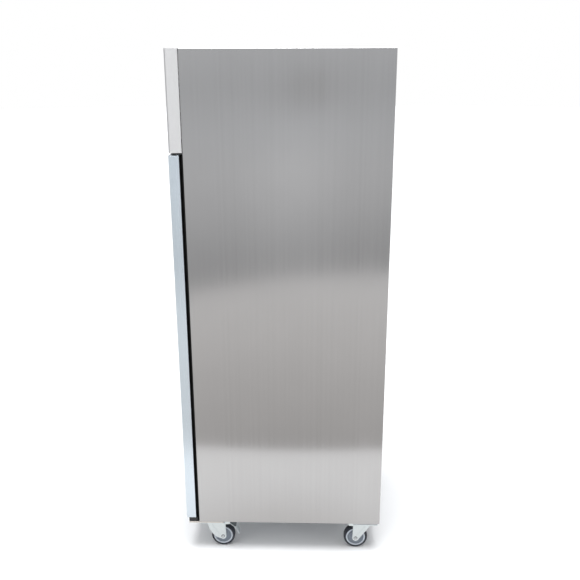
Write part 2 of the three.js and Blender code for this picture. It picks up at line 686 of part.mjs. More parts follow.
// The mounting plate, with the raceway standing down from it to just above the fork's crown.
function casterPlate() {
  const low = PLATE.top - PLATE.thick;
  const raceLow = CROWN.top + GAP;
  const plate = block([-PLATE.halfX, -PLATE.halfY, low], [PLATE.halfX, PLATE.halfY, PLATE.top]);
  const race = rod("z", PLATE.raceR, low + 1 - raceLow, [0, 0, (low + 1 + raceLow) / 2], 20);
  return join(plate, race);
}

// One leg, drawn in Y and Z: wide at the crown, slanted in front and round about the axle.
function forkLeg() {
  const y = CASTER_TRAIL;
  const frontMeet = Math.PI - 0.58; // where the slanted edges meet the round end
  const rearMeet = 2 * Math.PI + 0.1;
  const leg = new THREE.Shape();
  leg.moveTo(-12, CROWN.top);
  leg.lineTo(-12, CROWN.top - 10);
  leg.absarc(y, WHEEL_RADIUS, FORK.tip, frontMeet, rearMeet, false);
  leg.lineTo(y + 12, CROWN.top - 14);
  leg.lineTo(y + 27, CROWN.top - 12);
  leg.lineTo(y + 27, CROWN.top);
  return leg;
}

function fork() {
  const { inner, outer } = FORK;
  const crown = block([-outer, -12, CROWN.top - CROWN.thick], [outer, CASTER_TRAIL + 12, CROWN.top]);
  const right = across(forkLeg(), inner, outer, 6);
  const left = across(forkLeg(), -outer, -inner, 6);
  const axle = rod("x", 6, 2 * outer + 2, [0, CASTER_TRAIL, WHEEL_RADIUS], 12);
  const boltHead = rod("x", 8, 4, [outer + 2, CASTER_TRAIL, WHEEL_RADIUS], 6);
  const nut = rod("x", 8, 5, [-outer - 2.5, CASTER_TRAIL, WHEEL_RADIUS], 6);
  return join(crown, right, left, axle, boltHead, nut);
}

// Wheel pieces are turned about their own axle, which then lies along X.
function alongAxle(geometry) {
  return geometry.rotateX(-Math.PI / 2).rotateZ(Math.PI / 2).translate(0, CASTER_TRAIL, WHEEL_RADIUS);
}

function tyre() {
  const { radius, half, bore } = TYRE;
  const profile = [
    [bore, -half],
    [radius - 2.5, -half],
    [radius, 4 - half],
    [radius, half - 4],
    [radius - 2.5, half],
    [bore, half],
    [bore, -half],
  ];
  return alongAxle(turned(profile, WHEEL_SIDES));
}

const HUB = { bore: 6.4, barrelR: 12, barrel: 17, web: 5, rimR: 33, rim: 14, outerR: TYRE.bore - 0.7 };

// A barrel and a rim joined by a web, the same on both faces.
function hub() {
  const { bore, barrelR, barrel, web, rimR, rim, outerR } = HUB;
  const half = [
    [bore, barrel],
    [barrelR, barrel],
    [barrelR, web],
    [rimR, web],
    [rimR, rim],
    [outerR, rim],
  ];
  const otherHalf = half.map(([radius, height]) => [radius, -height]);
  return alongAxle(turned([...otherHalf, ...half.reverse(), otherHalf[0]], 16));
}

// A bent tread on a barrel that turns between the fork's ears.
function brakePedal() {
  const y = CASTER_TRAIL;
  const tread = new THREE.Shape();
  tread.moveTo(y + 16, 117);
  tread.lineTo(y + 24, 115);
  tread.lineTo(y + 38, 113);
  tread.lineTo(y + 50, 102);
  tread.lineTo(y + 58, 88);
  tread.lineTo(y + 60.5, 89);
  tread.lineTo(y + 53, 104);
  tread.lineTo(y + 40, 116);
  tread.lineTo(y + 26, 119);
  tread.lineTo(y + 17, 120.5);
  const barrel = rod("x", 5, 38, [0, y + 18, 116.5], 10);
  return join(across(tread, -16, 16), barrel);
}

function addCasters(parent) {
  for (const { name, x, y, turn, braked } of CASTERS) {
    const caster = addGroup(parent, x, y, 0);
    caster.rotation.z = turn;
    addPart(caster, `caster_plate_${name}`, casterPlate(), "zinc");
    addPart(caster, `caster_fork_${name}`, fork(), "zinc");
    addPart(caster, `wheel_hub_${name}`, hub(), "grey_plastic");
    addPart(caster, `tyre_${name}`, tyre(), "tread");
    if (braked) addPart(caster, `brake_pedal_${name}`, brakePedal(), "zinc");
  }
}

// ---------- assembly ----------

const refrigerator = new THREE.Group();
addCabinet(refrigerator);
addHeader(refrigerator);
addCabin(refrigerator);
addMachine(refrigerator);
addDoor(refrigerator);
addHinges(refrigerator);
addCasters(refrigerator);

export default refrigerator;
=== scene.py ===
import json
import math

import bmesh
import bpy
from mathutils import Matrix, Vector


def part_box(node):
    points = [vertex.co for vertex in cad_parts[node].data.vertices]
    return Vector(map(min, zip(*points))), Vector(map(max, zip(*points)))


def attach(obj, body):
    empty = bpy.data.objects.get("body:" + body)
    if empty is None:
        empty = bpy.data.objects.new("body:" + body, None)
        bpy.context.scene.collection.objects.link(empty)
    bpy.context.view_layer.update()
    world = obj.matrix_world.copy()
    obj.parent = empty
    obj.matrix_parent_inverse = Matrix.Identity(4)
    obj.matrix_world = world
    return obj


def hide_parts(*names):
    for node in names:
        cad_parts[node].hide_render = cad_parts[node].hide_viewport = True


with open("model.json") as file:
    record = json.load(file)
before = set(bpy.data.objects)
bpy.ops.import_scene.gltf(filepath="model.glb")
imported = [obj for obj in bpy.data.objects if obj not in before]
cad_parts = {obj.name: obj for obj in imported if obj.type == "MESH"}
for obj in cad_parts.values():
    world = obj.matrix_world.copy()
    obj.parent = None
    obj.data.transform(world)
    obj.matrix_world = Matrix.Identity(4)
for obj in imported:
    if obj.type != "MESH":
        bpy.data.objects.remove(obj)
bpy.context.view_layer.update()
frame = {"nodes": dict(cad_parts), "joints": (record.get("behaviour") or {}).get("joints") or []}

MM = 0.001

# ---------- places that come from the frame ----------

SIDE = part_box("side_panel_right")
SHEET = 1.5 * MM
HALF_W = SIDE[1].x
FRONT_Y = SIDE[0].y
REAR_Y = SIDE[1].y
PANEL_Z = SIDE[0].z
TOP_Z = SIDE[1].z
HINGE = Vector((HALF_W - 18 * MM, FRONT_Y - 33 * MM))
CORNERS = ("front_right", "front_left", "rear_right", "rear_left")


def pivot_of(body):
    """The point that a moving CAD body turns about."""
    return Vector(next(joint for joint in frame["joints"] if joint["child"] == body)["pos_m"])


def mm(x, y, z):
    """A point or a step given in millimetres."""
    return Vector((x, y, z)) * MM


def metres(points):
    """Points given in millimetres."""
    return [tuple(value * MM for value in point) for point in points]


# ---------- materials ----------

EVEN = (1, 1, 1)
MID_RANGE = (0.3, 0.7)  # where most of a noise's values lie
GRAIN_STRETCH = {"x": (0.0015, 1, 1), "z": (1, 1, 0.0015)}


def set_sockets(tree, node, sockets):
    """Gives each named input a value, or links another node's output to it."""
    for key, given in sockets.items():
        if isinstance(given, bpy.types.NodeSocket):
            tree.links.new(given, node.inputs[key])
        else:
            node.inputs[key].default_value = given


def add_node(tree, kind, result, sockets, **settings):
    """A new shader node with these settings and inputs. Returns the output named result."""
    node = tree.nodes.new("ShaderNode" + kind)
    for key, value in settings.items():
        setattr(node, key, value)
    set_sockets(tree, node, sockets)
    return node.outputs[result]


def shader(name, color, metallic, roughness):
    """A new material. Returns it, its node tree, its Principled shader and a place for textures."""
    material = bpy.data.materials.new(name)
    material.use_nodes = True
    tree = material.node_tree
    bsdf = tree.nodes["Principled BSDF"]
    set_sockets(tree, bsdf, {"Base Color": (*color, 1), "Metallic": metallic, "Roughness": roughness})
    return material, tree, bsdf, add_node(tree, "TexCoord", "Object", {})


def noise(tree, place, scale, stretch=EVEN, detail=3.0):
    """Noise over the object's own metres, scale features to the metre, stretched along an axis."""
    mapped = add_node(tree, "Mapping", "Vector", {"Vector": place, "Scale": stretch})
    return add_node(tree, "TexNoise", "Fac", {"Vector": mapped, "Scale": scale, "Detail": detail})


def ranged(tree, value, start, end, curve="LINEAR"):
    """A value's range, start, sent to the range end."""
    sockets = dict(zip(("From Min", "From Max", "To Min", "To Max"), (*start, *end)))
    return add_node(tree, "MapRange", "Result", {"Value": value, **sockets}, interpolation_type=curve)


def spread(tree, factor, middle, below, above):
    """A factor sent to a number that varies about a middle, from a share of it to another."""
    return ranged(tree, factor, MID_RANGE, (middle * below, min(1.0, middle * above)))


def tint(tree, factor, color, below, above):
    """A factor sent to a colour that varies from a share of itself to another."""
    dark, light = ((*(min(1.0, channel * share) for channel in color), 1) for share in (below, above))
    return add_node(tree, "Mix", "Result", {"Factor": factor, "A": dark, "B": light}, data_type="RGBA")


def average(tree, first, second, share):
    """The first factor, with a share of the second in it."""
    return add_node(tree, "Mix", "Result", {"Factor": share, "A": first, "B": second})


def bump(tree, height, distance, strength):
    """A normal that a height pushes about, by a distance in mm."""
    sockets = {"Distance": distance * MM, "Strength": strength, "Height": height}
    return add_node(tree, "Bump", "Normal", sockets)


def brushed(name, color, roughness, grain="z", anisotropy=0.7, metallic=1.0, contrast=0.05):
    """Brushed sheet: fine scratches and wider soft streaks run along the grain axis."""
    material, tree, bsdf, place = shader(name, color, metallic, roughness)
    stretch = GRAIN_STRETCH[grain]
    fine = noise(tree, place, 2600, stretch)
    grainy = average(tree, fine, noise(tree, place, 95, stretch, 4.0), 0.62)
    cloudy = average(tree, grainy, noise(tree, place, 7, EVEN, 2.0), 0.3)
    set_sockets(tree, bsdf, {
        "Base Color": tint(tree, cloudy, color, 1 - contrast, 1 + contrast),
        "Roughness": spread(tree, grainy, roughness, 0.88, 1.12),
        "Normal": bump(tree, fine, 0.02, 0.35),
        "Anisotropic": anisotropy,
        "Anisotropic Rotation": 0.0 if grain == "z" else 0.25,
        "Tangent": add_node(tree, "Tangent", "Tangent", {}, direction_type="RADIAL", axis="Z"),
    })
    return material


def plated(name, color, roughness, mottle=0.08, metallic=1.0):
    """Zinc or nickel plate over pressed steel: a soft mottle and a slight orange peel."""
    material, tree, bsdf, place = shader(name, color, metallic, roughness)
    mottled = noise(tree, place, 160)
    set_sockets(tree, bsdf, {
        "Base Color": tint(tree, mottled, color, 1 - mottle, 1 + mottle),
        "Roughness": spread(tree, mottled, roughness, 0.8, 1.25),
        "Normal": bump(tree, noise(tree, place, 1500), 0.03, 0.5),
    })
    return material


def galvanised():
    """Hot-dip zinc sheet: angular spangles 10 to 20 mm across, each with its own tone."""
    color = (0.56, 0.58, 0.6)
    material, tree, bsdf, place = shader("galvanised", color, 0.9, 0.46)
    cells = add_node(tree, "TexVoronoi", "Color", {"Vector": place, "Scale": 70})
    tone = add_node(tree, "SeparateColor", "Red", {"Color": cells})
    soft = noise(tree, place, 400)
    set_sockets(tree, bsdf, {
        "Base Color": tint(tree, average(tree, tone, soft, 0.4), color, 0.86, 1.12),
        "Roughness": ranged(tree, tone.node.outputs["Green"], MID_RANGE, (0.38, 0.54)),
        "Normal": bump(tree, soft, 0.03, 0.4),
    })
    return material


def moulded(name, color, roughness, grain_size=1800, depth=0.05, mottle=0.06, specular=0.5):
    """Moulded plastic, rubber or foam: a pebbled grain, its depth in mm, and slightly uneven gloss."""
    material, tree, bsdf, place = shader(name, color, 0.0, roughness)
    pebble = noise(tree, place, grain_size, EVEN, 4.0)
    cloud = noise(tree, place, 60)
    set_sockets(tree, bsdf, {
        "Base Color": tint(tree, cloud, color, 1 - mottle, 1 + mottle),
        "Roughness": spread(tree, cloud, roughness, 0.9, 1.1),
        "Normal": bump(tree, pebble, depth, 0.5),
        "Specular IOR Level": specular,
    })
    return material


def glowing(name, color, strength):
    """A lit segment or lamp, a little uneven over its length."""
    material, tree, bsdf, place = shader(name, color, 0.0, 0.4)
    glow = tint(tree, noise(tree, place, 240), color, 0.9, 1.05)
    set_sockets(tree, bsdf, {"Emission Color": glow, "Emission Strength": strength})
    return material


side_steel = brushed("side_steel", (0.6, 0.594, 0.596), 0.17, "z", 0.75, contrast=0.075)
header_steel = brushed("header_steel", (0.82, 0.82, 0.825), 0.36, "x", 0.6, 0.65, contrast=0.03)
# A copy of the steel for the folds. It is lighter than the side panels, a painted highlight along their top
# fold. It is fully metallic, a painted shade on the header's front folds.
fold_highlight_and_shade_steel = brushed("fold_highlight_and_shade_steel", (0.8, 0.8, 0.81), 0.3, "z", 0.6, contrast=0.03)
door_steel = brushed("door_steel", (0.76, 0.84, 0.91), 0.26, "z", 0.55, 0.8, contrast=0.03)
cabin_steel = brushed("cabin_steel", (0.66, 0.665, 0.67), 0.3, "z", 0.4)
hinge_steel = brushed("hinge_steel", (0.74, 0.7, 0.66), 0.4, "x", 0.3)
zinc = plated("zinc_plate", (0.84, 0.9, 0.92), 0.36)
bolt_steel = plated("bolt_steel", (0.7, 0.73, 0.75), 0.25, 0.05)
aluminium = plated("aluminium_fins", (0.74, 0.75, 0.76), 0.42, 0.05)
copper = plated("copper_tube", (0.72, 0.4, 0.25), 0.3, 0.12)
galvanised_sheet = galvanised()
enamel = moulded("black_enamel", (0.014, 0.014, 0.016), 0.3, 900, 0.03)
# Near-black with little gloss: black rubber, darkened further as painted shade of the gap along the door's
# edge.
seal_rubber = moulded("seal_rubber", (0.005, 0.005, 0.005), 0.75, 1400, 0.08, specular=0.15)
tread_rubber = moulded("tread_rubber", (0.021, 0.025, 0.036), 0.62, 900, 0.08, 0.15)
hub_plastic = moulded("hub_plastic", (0.25, 0.285, 0.335), 0.45, 1500, 0.04)
rim_plastic = moulded("rim_plastic", (0.55, 0.6, 0.66), 0.4, 1500, 0.04)
grey_plastic = moulded("grey_plastic", (0.3, 0.31, 0.33), 0.4)
black_plastic = moulded("black_plastic", (0.018, 0.018, 0.02), 0.42)
window_plastic = moulded("window_plastic", (0.008, 0.008, 0.01), 0.08, 300, 0.005)
dark_bracket = moulded("dark_bracket", (0.055, 0.07, 0.075), 0.5)
shelf_coat = plated("shelf_coat", (0.8, 0.81, 0.81), 0.3, 0.04, 0.6)
foam_core = moulded("foam", (0.82, 0.7, 0.43), 0.95, 500, 0.8, 0.12)
digit_glow = glowing("digit_glow", (0.9, 0.12, 0.06), 2.5)
lamp_glow = glowing("lamp_glow", (0.95, 0.98, 1.0), 1.6)


# ---------- mesh helpers: each add_ function adds to a bmesh, in metres ----------

MERGE = 1e-6
SHARP = math.radians(35)


def add_box(bm, low, high):
    low, high = Vector(low), Vector(high)
    place = Matrix.Translation((high + low) / 2) @ Matrix.Diagonal((*(high - low), 1))
    bmesh.ops.create_cube(bm, size=1, matrix=place)


def skin(bm, rings, closed=False):
    """Joins rings of points by faces, each to the next. A ring may be one point. Returns the vertices."""
    made = [[bm.verts.new(point) for point in ring] for ring in rings]
    for first, second in zip(made, made[1:] + (made[:1] if closed else [])):
        count = max(len(first), len(second))
        for i in range(count):
            j = (i + 1) % count
            corners = [first[i % len(first)], first[j % len(first)]]
            corners += [second[j % len(second)], second[i % len(second)]]
            bm.faces.new(list(dict.fromkeys(corners)))
    return made


def add_strip(bm, rings):
    """Skins rings of points, and caps the first and the last."""
    made = skin(bm, rings)
    bm.faces.new(reversed(made[0]))
    bm.faces.new(made[-1])


def add_prism(bm, outline, along):
    """An outline of 3-D points pushed along a vector."""
    base = [Vector(point) for point in outline]
    add_strip(bm, [base, [point + Vector(along) for point in base]])


def ring_of(centre, across, up, radius, sides):
    turn = 2 * math.pi / sides
    return [centre + (across * math.cos(i * turn) + up * math.sin(i * turn)) * radius for i in range(sides)]


def add_tube(bm, path, radius, sides=12):
    """A round bar along a path of points, with flat ends."""
    path = [Vector(point) for point in path]
    heading = (path[1] - path[0]).normalized()
    across = heading.orthogonal().normalized()
    rings = []
    for i, point in enumerate(path):
        ahead = (path[min(i + 1, len(path) - 1)] - path[max(i - 1, 0)]).normalized()
        across = (heading.rotation_difference(ahead) @ across).normalized()
        heading = ahead
        rings.append(ring_of(point, across, heading.cross(across), radius, sides))
    add_strip(bm, rings)


def add_lathe(bm, profile, centre, axis, sides=48):
    """A profile of (radius, height) points turned about an axis through centre.

    It closes on itself or on the axis."""
    axis = Vector(axis).normalized()
    across = axis.orthogonal().normalized()
    up = axis.cross(across)
    rings = []
    for radius, height in profile:
        rings.append(ring_of(Vector(centre) + axis * height, across, up, radius, sides if radius else 1))
    skin(bm, rings, len(rings[0]) > 1 and len(rings[-1]) > 1)


def add_disc(bm, centre, axis, radius, depth, sides=24, edge=0.15):
    """A round plug whose outer rim is eased, from centre out along axis."""
    ease = edge * radius
    profile = [(0, 0), (radius, 0), (radius, depth - ease), (radius - ease, depth), (0, depth)]
    add_lathe(bm, profile, centre, axis, sides)


def fillet(points, radius, steps=5):
    """A 2-D path whose inner corners are rounded."""
    rounded = [Vector(points[0])]
    for before, corner, after in zip(points, points[1:], points[2:]):
        corner = Vector(corner)
        back = (Vector(before) - corner).normalized()
        ahead = (Vector(after) - corner).normalized()
        half = math.acos(max(-1, min(1, back.dot(ahead)))) / 2
        reach = radius / math.tan(half)
        middle = corner + (back + ahead).normalized() * (radius / math.sin(half))
        start = corner + back * reach - middle
        sweep = math.pi - 2 * half
        turn = 1 if (start.y * back.x - start.x * back.y) > 0 else -1
        for i in range(steps + 1):
            angle = turn * sweep * i / steps
            c, s = math.cos(angle), math.sin(angle)
            rounded.append(middle + Vector((start.x * c - start.y * s, start.x * s + start.y * c)))
    return rounded + [Vector(points[-1])]


def add_sheet(bm, path, thickness, place, along):
    """A bent sheet whose left face follows a 2-D path. place() sets a 2-D point in 3-D."""
    inner = []
    for i, point in enumerate(path):
        run = (path[min(i + 1, len(path) - 1)] - path[max(i - 1, 0)]).normalized()
        inner.append(point + Vector((run.y, -run.x)) * thickness)
    add_prism(bm, [place(point) for point in list(path) + inner[::-1]], along)


def add_upright_sheet(bm, path, thickness, z0, z1):
    """A bent sheet whose plan is a 2-D path."""
    add_sheet(bm, path, thickness, lambda p: Vector((p.x, p.y, z0)), (0, 0, z1 - z0))


def rounded_loop(low, high, inset, y, radius, steps=6):
    """A rounded rectangle of points in a plane across Y, inside a box's outline."""
    loop = []
    centre_x = (low.x + inset + radius, high.x - inset - radius)
    centre_z = (low.z + inset + radius, high.z - inset - radius)
    for quarter, (right, top) in enumerate(((1, 1), (0, 1), (0, 0), (1, 0))):
        for i in range(steps + 1):
            angle = (quarter + i / steps) * math.pi / 2
            x = centre_x[right] + radius * math.cos(angle)
            loop.append(Vector((x, y, centre_z[top] + radius * math.sin(angle))))
    return loop


def rounded_plan(x0, x1, y0, y1, z, radius):
    """A rounded rectangle of points in a plane across Z."""
    loop = rounded_loop(Vector((x0, 0, y0)), Vector((x1, 0, y1)), 0, 0, radius)
    return [Vector((point.x, point.z, z)) for point in loop]


def add_loop_sweep(bm, section, low, high, radius):
    """A closed section of (inset, y) points swept round a rounded rectangle."""
    skin(bm, [rounded_loop(low, high, s, y, max(radius - s, 0.5 * MM)) for s, y in section], True)


def add_ring_tube(bm, loop, radius, sides=10):
    """A round bar along a closed loop of points in a plane across Z."""
    rings = []
    for i, point in enumerate(loop):
        heading = (loop[(i + 1) % len(loop)] - loop[i - 1]).normalized()
        across = Vector((heading.y, -heading.x, 0))
        rings.append(ring_of(point, across, Vector((0, 0, 1)), radius, sides))
    skin(bm, rings, True)


def smooth_path(points, steps=6):
    """A rounder path through points, by Catmull-Rom."""
    path = []
    for i in range(len(points) - 1):
        a, b = points[max(i - 1, 0)], points[i]
        c, d = points[i + 1], points[min(i + 2, len(points) - 1)]
        for s in range(steps):
            t = s / steps
            path.append(0.5 * (2 * b + (c - a) * t + (2 * a - 5 * b + 4 * c - d) * t ** 2
                               + (3 * b - a - 3 * c + d) * t ** 3))
    return path + [points[-1]]


def add_object(name, data):
    made = bpy.data.objects.new(name, data)
    bpy.context.scene.collection.objects.link(made)
    return made


def settle(bm, mesh):
    """Writes a bmesh into a mesh, with smooth faces between sharp edges."""
    for face in bm.faces:
        face.smooth = True
    for edge in bm.edges:
        edge.smooth = len(edge.link_faces) == 2 and edge.calc_face_angle(0) < SHARP
    bm.to_mesh(mesh)
    bm.free()


def finish_mesh(name, bm, material):
    """Closes a bmesh into a new object."""
    bmesh.ops.remove_doubles(bm, verts=bm.verts, dist=MERGE)
    bmesh.ops.recalc_face_normals(bm, faces=bm.faces)
    mesh = bpy.data.meshes.new(name)
    settle(bm, mesh)
    mesh.materials.append(material)
    return add_object(name, mesh)


def carve(piece, holes):
    """Cuts a bmesh of closed solids out of a piece."""
    cutter = finish_mesh("cutter", holes, galvanised_sheet)
    cut = piece.modifiers.new("cut", "BOOLEAN")
    cut.operation = "DIFFERENCE"
    cut.solver = "EXACT"
    cut.object = cutter
    graph = bpy.context.evaluated_depsgraph_get()
    made = bpy.data.meshes.new_from_object(piece.evaluated_get(graph))
    piece.modifiers.clear()
    piece.data = made
    bpy.data.objects.remove(cutter)
    bm = bmesh.new()
    bm.from_mesh(made)
    settle(bm, made)


def ease_edges(piece, width, segments):
    """Rounds the sharp edges of a piece, as pressing and deburring do."""
    bevel = piece.modifiers.new("ease", "BEVEL")
    bevel.width = width
    bevel.segments = segments
    bevel.limit_method = "ANGLE"
    bevel.angle_limit = math.radians(30)
    bevel.harden_normals = True


def piece_of(name, bm, material, nodes=(), ease=0, body="cabinet", segments=2, holes=None):
    """Makes a piece of the object with its finish, hangs it on its body and hides the CAD nodes it stands
    for.

    Its edges are eased by ease in mm, and holes is a bmesh of solids that are cut out of it."""
    piece = finish_mesh(name, bm, material)
    if holes is not None:
        carve(piece, holes)
    if ease:
        ease_edges(piece, ease * MM, segments)
    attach(piece, body)
    if nodes:
        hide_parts(*nodes)
    return piece


def refinish(piece, material, belongs):
    """A second finish for the faces whose centre belongs to it."""
    piece.data.materials.append(material)
    for face in piece.data.polygons:
        if belongs(face.center):
            face.material_index = 1


# ---------- stage: floor, studio, lights and camera ----------

CAMERA = {"at": (3.0585, 0.1163, 2.046), "yaw": -1.741, "pitch": 17.546, "roll": -0.205, "lens": 45.93}
MAT_HALF = 1.2  # the bright floor about the cabinet, as its sides reflect it
MAT_CORNER = 0.6
MAT_HOLE = 0.36
WALL_R = 4.6
WALL_SHIFT = 0.9  # the studio's middle lies behind the cabinet
WALL_TOP = 3.4
WALL_POOL = (1.0, 0.15, 1.8)  # a stretch of the wall that outshines its sides: half width, by how much, top
BACKDROP_R = 30
STAGE_SIDES = 128
STAGE_LIFT = 2 * MM
TENT_SIDES = 64
TENT_FOOT = -0.1
TENT_HOLE_R = 0.5

# stops of light along a distance: (share of the way, grey level, warmth)
FLOOR_STOPS = ((0, 0.46, 0.02), (0.1, 0.54, 0.02), (0.5, 0.68, 0.015), (0.9, 0.77, 0.01), (1, 0.79, 0.005))
MAT_STOPS = (
    (0, 0.7, 0.01),
    (0.27, 0.79, 0.01),
    (0.41, 0.87, 0.005),
    (0.57, 0.94, 0),
    (0.73, 0.98, 0),
    (1, 1, 0),
)
WALL_STOPS = (
    (0.0, 0.45, -0.01),
    (0.05, 0.48, -0.01),
    (0.18, 0.63, -0.01),
    (0.3, 0.73, -0.01),
    (0.4, 0.68, -0.02),
    (0.52, 0.53, -0.02),
    (0.62, 0.6, -0.02),
    (1.0, 0.8, 0.0),
)
CARDS = (  # name, corners, grey at the floor and at WALL_TOP
    ("front_card", (-2.6, -3.42, 0.2), (2.6, -3.4, 3.2), 0.3, 0.42),
    ("camera_shade", (3.3, 0.1, 1.68), (3.32, 0.36, 1.94), 0.42, 0.42),
)
SKY_LIGHT = 0.62
SUN_LIGHT = 2.2
SUN_WIDTH = math.radians(28)
SUN_LEAN = math.radians(8)
AREA_LIGHTS = (  # name, place, aim, width and power
    ("overhead", (0.4, 0, 4.2), (0, 0, 0), 4.5, 20),
    ("front_right", (3.2, -3.4, 3.2), (0, 0, 1), 2.4, 30),
)


def pool_strength(tree, height, across, pool):
    """Full strength, less a loss that grows to both sides of the middle, below the pool's top."""
    half_width, depth, top = pool
    off_centre = add_node(tree, "Math", "Value", {0: across}, operation="ABSOLUTE")
    sides = ranged(tree, off_centre, (0.0, half_width), (0.0, depth), "SMOOTHSTEP")
    share = ranged(tree, height, (top * 0.6, top), (1.0, 0.0), "SMOOTHSTEP")
    loss = add_node(tree, "Math", "Value", {0: sides, 1: share}, operation="MULTIPLY")
    return add_node(tree, "Math", "Value", {0: 1.0, 1: loss}, operation="SUBTRACT")


def glow(name, stops, low=0.0, high=WALL_TOP, radial=False, pool=None):
    """Plain light that follows stops from low to high: by height, or by distance from the middle."""
    material = bpy.data.materials.new(name)
    material.use_nodes = True
    tree = material.node_tree
    tree.nodes.clear()
    place = add_node(tree, "TexCoord", "Object", {})
    if radial:
        value = add_node(tree, "VectorMath", "Value", {0: place}, operation="LENGTH")
    else:
        value = add_node(tree, "SeparateXYZ", "Z", {0: place})
    ramp = add_node(tree, "ValToRGB", "Color", {"Fac": ranged(tree, value, (low, high), (0.0, 1.0))})
    elements = ramp.node.color_ramp.elements
    while len(elements) < len(stops):
        elements.new(0.5)
    for element, (share, level, warmth) in zip(elements, stops):
        element.position = share
        element.color = (level * (1 + warmth), level, level * (1 - warmth), 1)
    strength = pool_strength(tree, value, value.node.outputs["Y"], pool) if pool else 1.0
    light = add_node(tree, "Emission", "Emission", {"Color": ramp, "Strength": strength})
    output = tree.nodes.new("ShaderNodeOutputMaterial")
    set_sockets(tree, output, {"Surface": light})
    return material


def open_band(name, first, second, material):
    """An open band of faces between two rings with the same number of points."""
    bm = bmesh.new()
    skin(bm, [first, second])
    return finish_mesh(name, bm, material)


def met_only_by(ray, stage_piece):
    """A stage mesh that one kind of ray meets, and all others pass."""
    for kind in ("camera", "diffuse", "glossy", "transmission", "shadow"):
        setattr(stage_piece, "visible_" + kind, kind == ray)


def level_ring(height, radius, shift=0.0, sides=STAGE_SIDES):
    return ring_of(Vector((0, shift, height)), Vector((1, 0, 0)), Vector((0, 1, 0)), radius, sides)


def mat_ring(height, scale=1.0):
    """The edge of the bright floor: a square with round corners, one point for each bearing."""
    ring = []
    flat = MAT_HALF - MAT_CORNER
    for bearing in level_ring(0, 1):
        long, short = max(abs(bearing.x), abs(bearing.y)), min(abs(bearing.x), abs(bearing.y))
        reach = MAT_HALF / long
        if short * reach > flat:
            spot = flat * (long + short)
            reach = spot + math.sqrt(spot ** 2 - 2 * flat ** 2 + MAT_CORNER ** 2)
        ring.append(Vector((bearing.x * reach * scale, bearing.y * reach * scale, height)))
    return ring


def studio():
    """What the steel reflects: a bright floor, a greyer one round it, a wall and two cards."""
    mat_edge = mat_ring(STAGE_LIFT)
    floor_edge, foot, top = (level_ring(height, WALL_R, WALL_SHIFT) for height in (STAGE_LIFT, 0, WALL_TOP))
    far_floor = glow("far_floor", FLOOR_STOPS, MAT_HALF, WALL_R, True)
    met_only_by("glossy", open_band("far_floor", mat_edge, floor_edge, far_floor))
    mat = glow("mat", MAT_STOPS, HALF_W, MAT_HALF, True)
    mat_hole = mat_ring(STAGE_LIFT, MAT_HOLE / MAT_HALF)
    met_only_by("glossy", open_band("mat", mat_hole, mat_edge, mat))
    wall = glow("studio_wall", WALL_STOPS, pool=WALL_POOL)
    met_only_by("glossy", open_band("studio_wall", foot, top, wall))
    for name, low, high, foot_grey, top_grey in CARDS:
        bm = bmesh.new()
        add_box(bm, low, high)
        card = glow(name, ((0, foot_grey, 0), (1, top_grey, 0)))
        met_only_by("glossy", finish_mesh(name, bm, card))


def backdrop():
    """A white studio tent that only the camera sees, so that it adds no light."""
    white = glow("backdrop", ((0, 1, 0), (1, 1, 0)))
    foot = level_ring(TENT_FOOT, BACKDROP_R, sides=TENT_SIDES)
    peak = level_ring(BACKDROP_R, TENT_HOLE_R, sides=TENT_SIDES)
    met_only_by("camera", open_band("backdrop", foot, peak, white))


def floor():
    bm = bmesh.new()
    bmesh.ops.create_grid(bm, x_segments=1, y_segments=1, size=BACKDROP_R)
    material, tree, bsdf, place = shader("pale_floor", (0.95, 0.96, 0.975), 0.0, 0.75)
    rough = ranged(tree, noise(tree, place, 30), MID_RANGE, (0.7, 0.8))
    set_sockets(tree, bsdf, {"Roughness": rough, "Specular IOR Level": 0.2})
    finish_mesh("floor", bm, material)


def lights():
    """An even sky, a wide soft sun and two soft area lights."""
    world = bpy.data.worlds.new("studio")
    world.use_nodes = True
    sky = world.node_tree.nodes["Background"]
    set_sockets(world.node_tree, sky, {"Color": (1, 1, 1, 1), "Strength": SKY_LIGHT})
    bpy.context.scene.world = world
    sun = bpy.data.lights.new("skylight", "SUN")
    sun.energy = SUN_LIGHT
    sun.angle = SUN_WIDTH
    add_object("skylight", sun).rotation_euler = (0, SUN_LEAN, 0)
    for name, at, aim, width, power in AREA_LIGHTS:
        data = bpy.data.lights.new(name, "AREA")
        data.shape = "SQUARE"
        data.size = width
        data.energy = power
        lamp = add_object(name, data)
        lamp.location = at
        lamp.rotation_euler = (Vector(aim) - Vector(at)).to_track_quat("-Z", "Y").to_euler()


def camera():
    data = bpy.data.cameras.new("camera")
    data.lens = CAMERA["lens"]
    data.sensor_width = 36
    yaw, pitch, roll = (math.radians(CAMERA[key]) for key in ("yaw", "pitch", "roll"))
    ahead = Vector((-math.cos(pitch) * math.cos(yaw), math.cos(pitch) * math.sin(yaw), -math.sin(pitch)))
    level = Vector((math.sin(yaw), math.cos(yaw), 0))
    right = level * math.cos(roll) + level.cross(ahead) * math.sin(roll)
    turned = Matrix((right, right.cross(ahead), -ahead)).transposed().to_4x4()
    eye = add_object("camera", data)
    eye.matrix_world = Matrix.Translation(CAMERA["at"]) @ turned
    bpy.context.scene.camera = eye


bpy.context.scene.view_settings.view_transform = "Standard"
studio()
backdrop()
floor()
lights()
camera()


# ---------- cabinet ----------

FOLD_R = 3 * MM
LIP = 20 * MM


